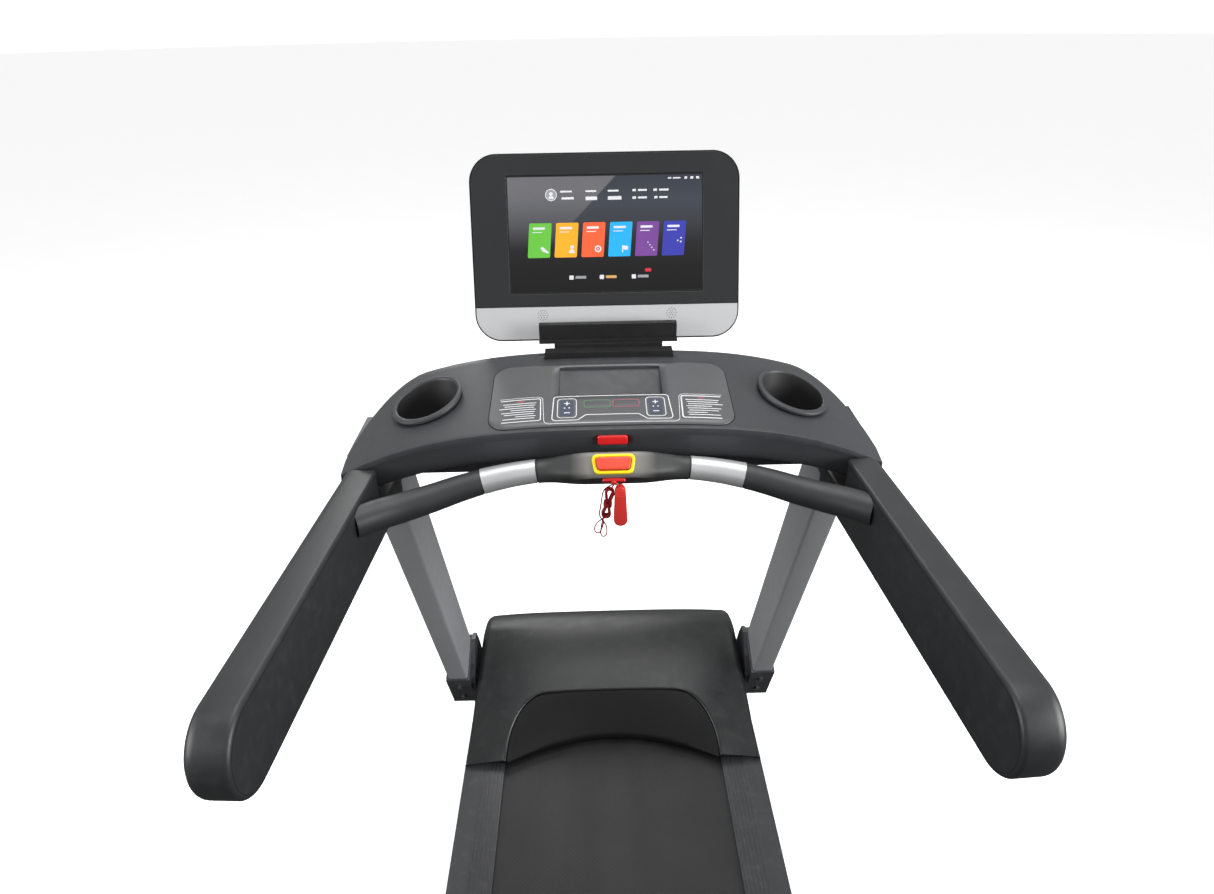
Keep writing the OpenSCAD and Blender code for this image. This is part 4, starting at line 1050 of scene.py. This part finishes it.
def make_lid():
    xs = console_columns(LID_HALF)
    ys = [194, 202, 212, 224, 236, 248, 260, REST_NEAR, 290, 310, 330, REST_FAR, 360, SLOT_NEAR, SLOT_FAR]
    rows = []
    for x in xs:
        a, b = lip(x), rear(x)
        inner = ys if abs(x) < 120 else [a + (y - FRONT_Y) / DEPTH * (b - a) for y in ys]
        rows.append([(x, y, zt(x, y)) for y in [a, *inner, b]])

    def rest_hole(i, j):
        return 0 < j < len(ys) and over(xs, i, REST_HALF) and ys[j - 1] >= REST_NEAR and ys[j] <= REST_FAR
    verts, faces = grid(rows, skip=rest_hole)
    me = bpy.data.meshes.new("tmp")
    me.from_pydata([[c * MM for c in v] for v in verts], [], faces)
    bm = bmesh.new()
    bm.from_mesh(me)
    # Slot for the screen's foot
    gone = []
    for f in bm.faces:
        m = f.calc_center_median() / MM
        if abs(m.x) < SLOT_HALF and SLOT_NEAR < m.y < SLOT_FAR:
            gone.append(f)
    bmesh.ops.delete(bm, geom=gone, context="FACES")
    rest, slot, rim = [], [], []
    for e in [e for e in bm.edges if e.is_boundary]:
        m = (e.verts[0].co + e.verts[1].co) / 2 / MM
        if abs(m.x) < REST_HALF + .5 and REST_NEAR - 1 < m.y < REST_FAR + 1:
            rest.append(e)
        elif abs(m.x) < SLOT_HALF + .5 and SLOT_NEAR - .5 < m.y < SLOT_FAR + .5:
            slot.append(e)
        else:
            rim.append(e)

    def rest_floor(v):
        """Deepest at the front, and nearly level."""
        return FRONT_Z + RISE * (v.y - FRONT_Y) - 24 + 19 * (v.y - REST_NEAR) / (REST_FAR - REST_NEAR)
    for edges, floor in ((rim, lambda v: v.z - EDGE), (slot, lambda v: v.z - 12), (rest, rest_floor)):
        made = bmesh.ops.extrude_edge_only(bm, edges=edges)["geom"]
        for v in (g for g in made if isinstance(g, bmesh.types.BMVert)):
            v.co.z = floor(v.co / MM) * MM
        if edges is rest:
            ring = [g for g in made if isinstance(g, bmesh.types.BMEdge)
                    and all(w in made for w in g.verts)]
            bmesh.ops.contextual_create(bm, geom=ring)
    bmesh.ops.remove_doubles(bm, verts=bm.verts, dist=1e-6)
    bmesh.ops.recalc_face_normals(bm, faces=bm.faces)
    verts = [tuple(v.co / MM) for v in bm.verts]
    bm.verts.ensure_lookup_table()
    bm.verts.index_update()
    faces = [tuple(v.index for v in f.verts) for f in bm.faces]
    bm.free()
    bpy.data.meshes.remove(me)
    o = make("console_lid", verts, faces, "console_plastic", replaces="console_top", smooth=180)
    bevel(o, 2.2, 3, 45).harden_normals = True
    solidify(o, 2.4)
    tools = []
    for s in (-1, 1):
        rows = [cup_row(cup_places(s)["leaned"], 55.4, h) for h in (-40, 40)]
        tools.append(helper(*closed(rows)))
    cut(o, *tools)
    o.data.set_sharp_from_angle(angle=radians(50))


def make_tray():
    xs = console_columns(TRAY_HALF)

    def row(x):
        a, b = lip(x) + 2, rear(x) - 2
        mid = (a + b) / 2
        belly = 30 * (1 - (x / LID_HALF) ** 4)
        # The bottom hangs lower behind the cup holders
        sag = 10.8 * max(0, 1 - (x / 350) ** 8)
        z, depth = zt(x, a), 52
        front = [(a, z - EDGE - .2), (a + 1.2, z - 14), (a + 3.4, z - 26.4), (a + 5.6, z - 36),
                 (a + 7.6, z - 44), (a + 9.6, z - 49), (a + 13, z - depth)]
        under = []
        for f in spread(0, 1, 8)[1:]:
            y = a + 13 + (mid - a - 13) * f
            under.append((y, z - depth + (zt(x, mid) - depth - belly - z + depth) * sin(f * pi / 2)))
        for f in spread(0, 1, 8)[1:]:
            y = mid + (b - 5 - mid) * f
            lo, hi = zt(x, mid) - depth - belly, zt(x, b) - depth
            under.append((y, lo + (hi - lo) * (1 - cos(f * pi / 2)) - sag * sin(f * pi)))
        end = [(b - 2, zt(x, b) - 47), (b, zt(x, b) - 38), (b, zt(x, b) - EDGE - .2)]
        return [(x, y, z) for y, z in front + under + end]
    rows = [row(x) for x in xs]

    def quick_hole(i, j):
        return j < 2 and over(xs, i, QUICK_HALF + .05)
    verts, faces = grid(rows, skip=quick_hole, first=True, last=True)
    o = make("console_tray", verts, faces, "skirt_plastic", replaces="console_base", smooth=50)
    solidify(o, 3)


def make_overlay():
    """A film with a hole for the phone rest, and the groove round it."""
    r, w, y0, y1 = 28, 181, 198, 357
    # Each column's x and how far the rounded corner takes from its ends
    arc = [(w - r + r * cos(a), r - r * sin(a)) for a in spread(0, pi / 2, 12)]
    half = arc + [(x, 0) for x in spread(w - r, REST_HALF, 6)[1:] + spread(REST_HALF, 0, 7)[1:]]
    cols = [(-x, c) for x, c in half] + half[-2::-1]
    near, rest = 6, 4

    def row(x, c):
        c = min(c, r - .4)
        mid = min(REST_FAR, y1 - c - 3)
        ys = spread(y0 + c, REST_NEAR, near) + spread(REST_NEAR, mid, rest)[1:] + spread(mid, y1 - c, 2)[1:]
        return [(x, y, zt(x, y) + .9) for y in ys]
    xs = [x for x, _ in cols]
    verts, faces = grid([row(*q) for q in cols],
                        skip=lambda i, j: over(xs, i, REST_HALF) and near <= j < near + rest)
    o = make("keypad_film", verts, faces, "overlay_film", replaces="console_overlay", smooth=50)
    solidify(o, .85)
    gap = 1.6
    edge = rect(2 * w + gap, y1 - y0 + gap, r + gap / 2, at=(0, (y0 + y1) / 2), n=12)
    groove = ribbon(edge, gap, lambda x, y, h: (x, y, zt(x, y) + .02 + h), .25, closed=True, step=12)
    make("keypad_groove", *groove, "black_gap", slot="console_plastic")


def print_lines():
    """The keypad's printed lines: every shape is plain geometry."""
    film, thick = .93, .1
    items = []

    def on(x, y, h):
        return (x, y, zt(x, y) + film + h)

    def on_pad(x, y, h):
        return on(x, y, h + .3)

    def line(points, width, closed=False, m="print_white"):
        items.append((ribbon(points, width, on, thick, closed, 5), m))

    # Keypad frame with a step in its lower edge
    frame_line = [(-86, 269), (86, 269), (90, 211), (52, 211), (40, 223), (-38, 223), (-50, 211), (-88, 211)]
    line(round_poly(frame_line, [5, 5, 6, 5, 7, 7, 5, 6], 5), 1.5, True)
    # Outer line that runs round the frame and on to the two notes
    line(round_poly([(-168, 271), (-103, 271), (-99, 204), (99, 204), (103, 271), (168, 271)],
                    [0, 8, 9, 9, 8, 0], 6), .8)
    for s in (-1, 1):
        # Pad with a plus, a minus and two dots
        x, y = s * 66, 240
        line(rect(28, 46, 6, at=(x, y)), 1.2, True)
        items.append((patch(rect(19, 37, 4, at=(x, y)), on, .3), "pad_blue"))
        marks = [rect(a, b, .5, at=(x + u, y + v))
                 for u, v, a, b in ((0, 11, 9, 1.8), (0, 11, 1.8, 9), (0, -11.5, 9, 2))]
        marks += [disc(1.3, (x + u, y), 12) for u in (-3.5, 3.5)]
        items.extend((patch(mark, on_pad, thick), "print_white") for mark in marks)
        # Note beside the keypad: a bracket and plain bars
        x0, x1 = s * 106, s * 166
        line([(x1, 266.5), (x0 + s * 2, 266.5), (x0, 264), (x0 - s * 1.5, 216), (x0 + s * 1, 213.5),
              (x1 - s * 4, 213.5)], 2.0 if s > 0 else 1.6)
        for i, length in enumerate((50, 46, 52, 38, 50, 44, 30, 47)):
            y = 257 - i * 5.2
            start = x0 + s * (6 + (i % 3) * 1.5)
            left, right = sorted((start, start + s * length))
            line([(left, y), (right, y)], 1.5)
        line([(s * 136 - 4.5, 261.8), (s * 136 + 4.5, 261.8)], 2.2, m="print_red")
    # Two raised keys under the film, each with a printed frame and three marks
    keys, key_y = [], 249.5
    for x, m in ((-21, "print_green"), (22, "print_red")):
        line(rect(39, 17, 4, at=(x, key_y)), .9, True, m)
        for i, mark in enumerate((m, "print_white", m)):
            items.append((patch(rect(5.2, 4.2, .8, at=(x - 8 + 8 * i, key_y)), on, thick), mark))
        key = slab([rect(34, 12, 3, at=(x, key_y))], rounded(-.5, .55, 0, .45))
        keys.append(moved(key, lambda a, b, c: on(a, b, c - .4)))
    joined("keypad_print", items, slot="overlay_film")
    make("keypad_keys", *add_up(*keys), "overlay_film")


CUP_N = 80
CUP_X, CUP_Y = 284, 302


def cup_places(s):
    """Three ways to place a point of a cup holder: leaned with the console, plumb on its slope, or level."""
    x0, y0, z0 = s * CUP_X, CUP_Y, zt(CUP_X, CUP_Y)
    a, b = radians(11.31), radians(15.12)

    def leaned(x, y, h):
        y, z = y * cos(a) - h * sin(a), y * sin(a) + h * cos(a)
        return (x0 + s * (x * cos(b) + z * sin(b)), y0 + y, z0 - x * sin(b) + z * cos(b))

    def plumb(x, y, h):
        return (x0 + s * x, y0 + y, z0 - x * tan(b) + y * tan(a) / cos(b) + h)

    def level(x, y, h):
        return (x0 + s * x, y0 + y, z0 + h)
    return {"leaned": leaned, "plumb": plumb, "level": level}


def cup_row(place, r, h):
    return [place(r * cos(2 * pi * k / CUP_N), r * sin(2 * pi * k / CUP_N), h) for k in range(CUP_N)]


def make_cup(s):
    side = "left" if s < 0 else "right"
    places = cup_places(s)
    outside = [("level", .01, -55), ("level", 44, -55), ("level", 48.5, -53.5), ("level", 50, -51),
               ("level", 50, -16), ("leaned", 53.4, -8), ("leaned", 53.4, 1.8), ("leaned", 56.6, 2),
               ("leaned", 58, 3.4), ("leaned", 58, 5.6)]
    rim = [("leaned", 57.4, 7.1), ("leaned", 56, 8), ("plumb", 49.6, 8), ("plumb", 48.4, 7.6),
           ("plumb", 47.6, 6.4)]
    inside = [("plumb", 47.2, 4), ("level", 47, -14), ("level", 47, -30), ("level", 47, -46),
              ("level", 46.2, -49.5), ("level", 43.6, -51.6), ("level", 40, -52), ("level", 24, -52),
              ("level", .01, -52)]
    rows = [cup_row(places[kind], r, h) for kind, r, h in outside + rim + inside]
    part = grid(rows, wrap=True)
    # Skirt outside, console plastic on the rim, black inside
    kinds = [1] * (len(outside) - 1) + [0] * len(rim) + [2] * len(inside)
    kinds = [kind for kind in kinds for _ in range(CUP_N)]
    make("cup_holder_shell_" + side, *part, ["console_plastic", "skirt_plastic", "cup_black"],
         replaces="cup_holder_" + side, smooth=50, kinds=kinds)
    section = ((-.8, 0), (-.5, .7), (.5, .7), (.8, 0))
    rings = [grid([cup_row(places["level"], r + w, -52.1 + h) for w, h in section], wrap=True)
             for r in (12, 22)]
    make("cup_floor_rings_" + side, *add_up(*rings), "cup_black", slot="console_plastic")


# ---------- screen ----------

SCREEN_LEAN = radians(17)
# Foot of the screen's front face
SCREEN_Y, SCREEN_Z = 447, 1311
# Middle of the screen's and the display's height, and the middle of a speaker
SCREEN_MID, SHOW_MID, SPEAKER = 151, 172, (108, 42)


def on_screen(x, z, y):
    """Local x, height up the screen and depth behind its front face."""
    c, k = cos(SCREEN_LEAN), sin(SCREEN_LEAN)
    return (x, SCREEN_Y + y * c + z * k, SCREEN_Z - y * k + z * c)


def screen_outline(d=0.0, low=None):
    """The screen's outline drawn in by d, and cut off straight at low if that is given."""
    w, h, r = 442 - 2 * d, 302 - 2 * d, 45 - d
    if low is None:
        return rect(w, h, r, at=(0, SCREEN_MID), n=14)
    top = SCREEN_MID + h / 2
    return round_poly([(-w / 2, low), (w / 2, low), (w / 2, top), (-w / 2, top)], [0, 0, r, r], 14)


def make_screen():
    c = "screen"
    levels = [(2.6, 4.2), (1.6, 1.6), (.8, .8), (0, 1.8), (0, 19), (.8, 23.5), (3, 27.5), (7, 31), (12, 33),
              (20, 34)]
    shell = slab([screen_outline()], levels)
    ears = []
    for x in (-60, 28):
        drum = sweep([(x, 0, 0), (x + 32, 0, 0)], 10, 32)
        ears.append(([on_screen(a, -14 + q, 24 + b) for a, b, q in drum[0]], drum[1]))
        ears.append(moved(slab([rect(32, 20, .5, at=(x + 16, -5))], [(0, 16), (0, 32)]), on_screen))
    make("screen_housing", *add_up(moved(shell, on_screen), *ears), "screen_plastic", c,
         replaces="screen_back", smooth=35)
    window = rect(322, 190, 2, at=(0, SHOW_MID))
    face = slab([screen_outline(2.2, 56.3), window], [(0, 5), (0, .7), (.5, .2)])
    make("screen_face", *moved(face, on_screen), "screen_plastic", c, replaces="screen_bezel", smooth=35)
    w, low, high, r = 218.8, 2.2, 55.7, 42.8
    band_loop = round_poly([(-w, high), (-w, low), (w, low), (w, high)], [0, r, r, 0], 14)
    holes = []
    sx, sz = SPEAKER
    for s in (-1, 1):
        for ring, count in ((0, 1), (4, 6), (8, 12)):
            holes += [disc(.75, place, 10) for place in disc(ring, (s * sx, sz), count)]
    band = slab([band_loop, *holes], [(0, 5), (0, .7), (.25, .3)])
    make("screen_lower_band", *moved(band, on_screen), "silver_band", c, replaces="screen_band", smooth=35)
    behind = [moved(slab([disc(11, (s * sx, sz), 32)], [(0, 4.2), (0, 4.6)]), on_screen) for s in (-1, 1)]
    make("speaker_cloth", *add_up(*behind), "black_gap", c, slot="screen_plastic")
    glass = slab([rect(321.4, 189.4, 1.8, at=(0, SHOW_MID))], [(0, 5), (0, 1.2), (.2, 1.0)])
    make("display_glass", *moved(glass, on_screen), "screen_glass", c, replaces="screen_glass", smooth=35)
    make_ui()
    make_screen_back()


def make_ui():
    """The display's picture in thin layers. u and v are 0..100 across and down it."""
    # Millimetres in one u and one v
    wide, high = 3.18, 1.85
    items = []

    def px(u, v):
        return (-159 + wide * u, 264.5 - high * v)

    def box(u, v, w, h, r, skew=0.0):
        (x, z), w, h = px(u, v), w * wide, h * high
        loop = [(x, z - h), (x + w, z - h), (x + w, z), (x, z)]
        return round_poly([(a - skew * (z - b) / h, b) for a, b in loop], r, 4)

    def show(loop, m, h0=.13, thick=.02):
        items.append((patch(loop, lambda x, z, h: on_screen(x, z, 1.0 - h0 - h), thick), m))

    show(rect(318, 185, 1, at=(0, SHOW_MID)), "ui_back", .02, .04)
    tiles = ["ui_green", "ui_amber", "ui_orange", "ui_sky", "ui_purple", "ui_indigo"]
    # Each tile's plain marks around its middle: polygons with their corner radius, or discs
    marks = [
        [([(-7, 3), (-3, 5), (7, -4), (6, -6), (-3, -3)], .8, 3)],
        [(3, 1.5, 3.4, 14), ([(-5, -6), (6, -6), (4, -1), (-1, 0)], 1, 3)],
        [(5.6, 0, 0, 20)],
        [([(-4.6, 5), (5.5, 3.4), (4.6, -2.6), (-3, -1.6), (-3, -6.5), (-4.6, -6.5)], .4, 2)],
        [(1.1, -6 + 3.2 * k, 9 - 4.2 * k, 8) for k in range(4)],
        [(1.5, 4, 9, 8), (1.3, -1, 11, 8), (1.4, 4.5, 15, 8)],
    ]
    for i, m in enumerate(tiles):
        u = 10.6 + i * 13.95
        show(box(u, 39.5, 11.6, 30, 2.2, 4.5), m, .07, .05)
        show(box(u + 1.8, 43, 6.2, 2.0, .5), "ui_white")
        show(box(u + 1.5, 47, 5.0, .7, .2), "ui_white")
        cx, cz = px(u + 7.4, 62.5)
        for mark in marks[i]:
            if len(mark) == 3:
                points, r, n = mark
                show(round_poly([(cx + a, cz + b) for a, b in points], r, n), "ui_white")
            else:
                r, a, b, n = mark
                show(disc(r, (cx + a, cz + b), n), "ui_white")
        if m == "ui_orange":
            show(disc(3.4, (cx, cz), 16), m, .16)
            show(disc(1.2, (cx, cz), 10), "ui_white", .19)
    # Round portrait place-holder, figures and menu marks as plain bars
    x, z = px(22.3, 15.4)
    show(disc(9.6, (x, z), 28), "ui_white", .07, .03)
    show(disc(8.4, (x, z), 28), "ui_grey", .11, .03)
    show(disc(3, (x, z + 1.6), 16), "ui_white", .15)
    bust = [(x - 5, z - 6.2), (x + 5, z - 6.2), (x + 3.4, z - 2), (x - 3.4, z - 2)]
    show(round_poly(bust, 1.4, 4), "ui_white", .15)
    bars = [(27, 12, 6, 1.5), (27.6, 17.5, 6.4, 2), (40, 12, 5.6, 1.5), (40, 17.4, 6, 3),
            (51.5, 12, 5.6, 1.5), (51.5, 17.4, 7, 3), (64.2, 11.6, 1.8, 2), (67, 11.8, 4.6, 1.6),
            (75, 11.6, 1.8, 2), (78, 11.8, 4.8, 1.6), (64.2, 18, 1.8, 2), (67, 18.2, 4.6, 1.6),
            (75.4, 18, 1.6, 2), (78, 18.2, 4.2, 1.6), (82.5, 2.2, 1.8, 1.2), (85, 2.2, 4, 1.2),
            (91, 1.8, 1.4, 2), (94, 1.8, 1.6, 2), (97, 1.8, 1.6, 2)]
    for bar in bars:
        show(box(*bar, .35), "ui_white", .07, .03)
    for u, m in ((30.6, "ui_grey"), (46.5, "ui_gold"), (63.2, "ui_grey")):
        show(box(u, 85.5, 2.2, 3.6, .5), "ui_white", .07, .03)
        show(box(u + 3.2, 86, 5.6, 2.4, .4), m, .07, .03)
    show(box(70.2, 80.4, 3.2, 2.8, 1.2), "ui_badge", .07, .04)
    joined("display_picture", items, "screen", slot="screen_glass")


def make_screen_back():
    """Louvres, a cover plate and screws on the back of the screen."""
    def out(x, z, h):
        return on_screen(x, z, 34 + h)
    away = Vector(out(0, 0, 1)) - Vector(out(0, 0, 0))
    items = []
    for k in range(9):
        z = 208 + k * 7.2
        louvre = slab([rect(120, 2.6, 1.2, at=(0, z))], rounded(-.6, .5, 0, .4))
        items.append((moved(louvre, out), "screen_plastic"))
        # Black strips between the louvres: painted shade standing in for the vent openings
        items.append((patch(rect(120, 2.2, 1.0, at=(0, z + 3.6)), out, .06), "black_gap"))
    plate_z = 118
    plate = slab([rect(118, 86, 6, at=(0, plate_z))], rounded(-.6, 1.6, 0, .8))
    items.append((moved(plate, out), "screen_plastic"))
    for x in (-1, 1):
        for z in (-1, 1):
            items.append((screw_head(out(x * 50, plate_z + z * 34, 1.6), away, 3.4), "zinc_bolt"))
            items.append((screw_head(out(x * 178, SCREEN_MID + z * 108, -2), away, 3.2), "zinc_bolt"))
    joined("screen_back_details", items, "screen", slot="screen_plastic")


# ---------- nodes that keep their CAD shape ----------

# Widths of their rounded edges, where they aren't the usual one
USUAL_BEVEL = .8
BEVELS = {"frame_rail_left": 1.5, "frame_rail_right": 1.5, "cross_members": 1, "deck_board": 1.2,
          "deck_cushions": 1.5, "side_rail_left": .5, "side_rail_right": .5, "end_cap_left": 1.2,
          "end_cap_right": 1.2, "belt_adjusters": .6, "drive_motor": 1.6, "drive_belt": .6,
          "motor_controller": .6, "power_switch": .4, "lift_motor": 1.4, "lift_frame": 1.2,
          "upright_shoe_left": 1.2, "upright_shoe_right": 1.2, "frame_bolts": .7, "console_frame": 1.2,
          "console_boot_left": 2, "console_boot_right": 2, "screen_neck": 1.2, "running_belt": .3}


def dress_nodes():
    for name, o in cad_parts.items():
        if o.hide_render:
            continue
        for slot in o.material_slots:
            slot.material = M[slot.material.name.split(".")[0]]
        o.modifiers.new("weld", "WELD").merge_threshold = 1e-5
        bevel(o, BEVELS.get(name, USUAL_BEVEL), 2, 40)
        o.modifiers.new("normals", "WEIGHTED_NORMAL").keep_sharp = True


make_materials()
make_camera()
make_studio()
cord, cord_path, cord_length = make_lanyard()
clip = make_clip()
tie = make_tie()
[c * MM for c in cord_path[0]]
make_hood()
make_inset()
for s in (-1, 1):
    make_upright(s)
    make_arm(s)
    make_cup(s)
make_handlebar()
make_pod()
make_stop()
make_lid()
make_tray()
make_overlay()
print_lines()
make_screen()
dress_nodes()
bpy.context.scene.view_settings.view_transform = "Standard"
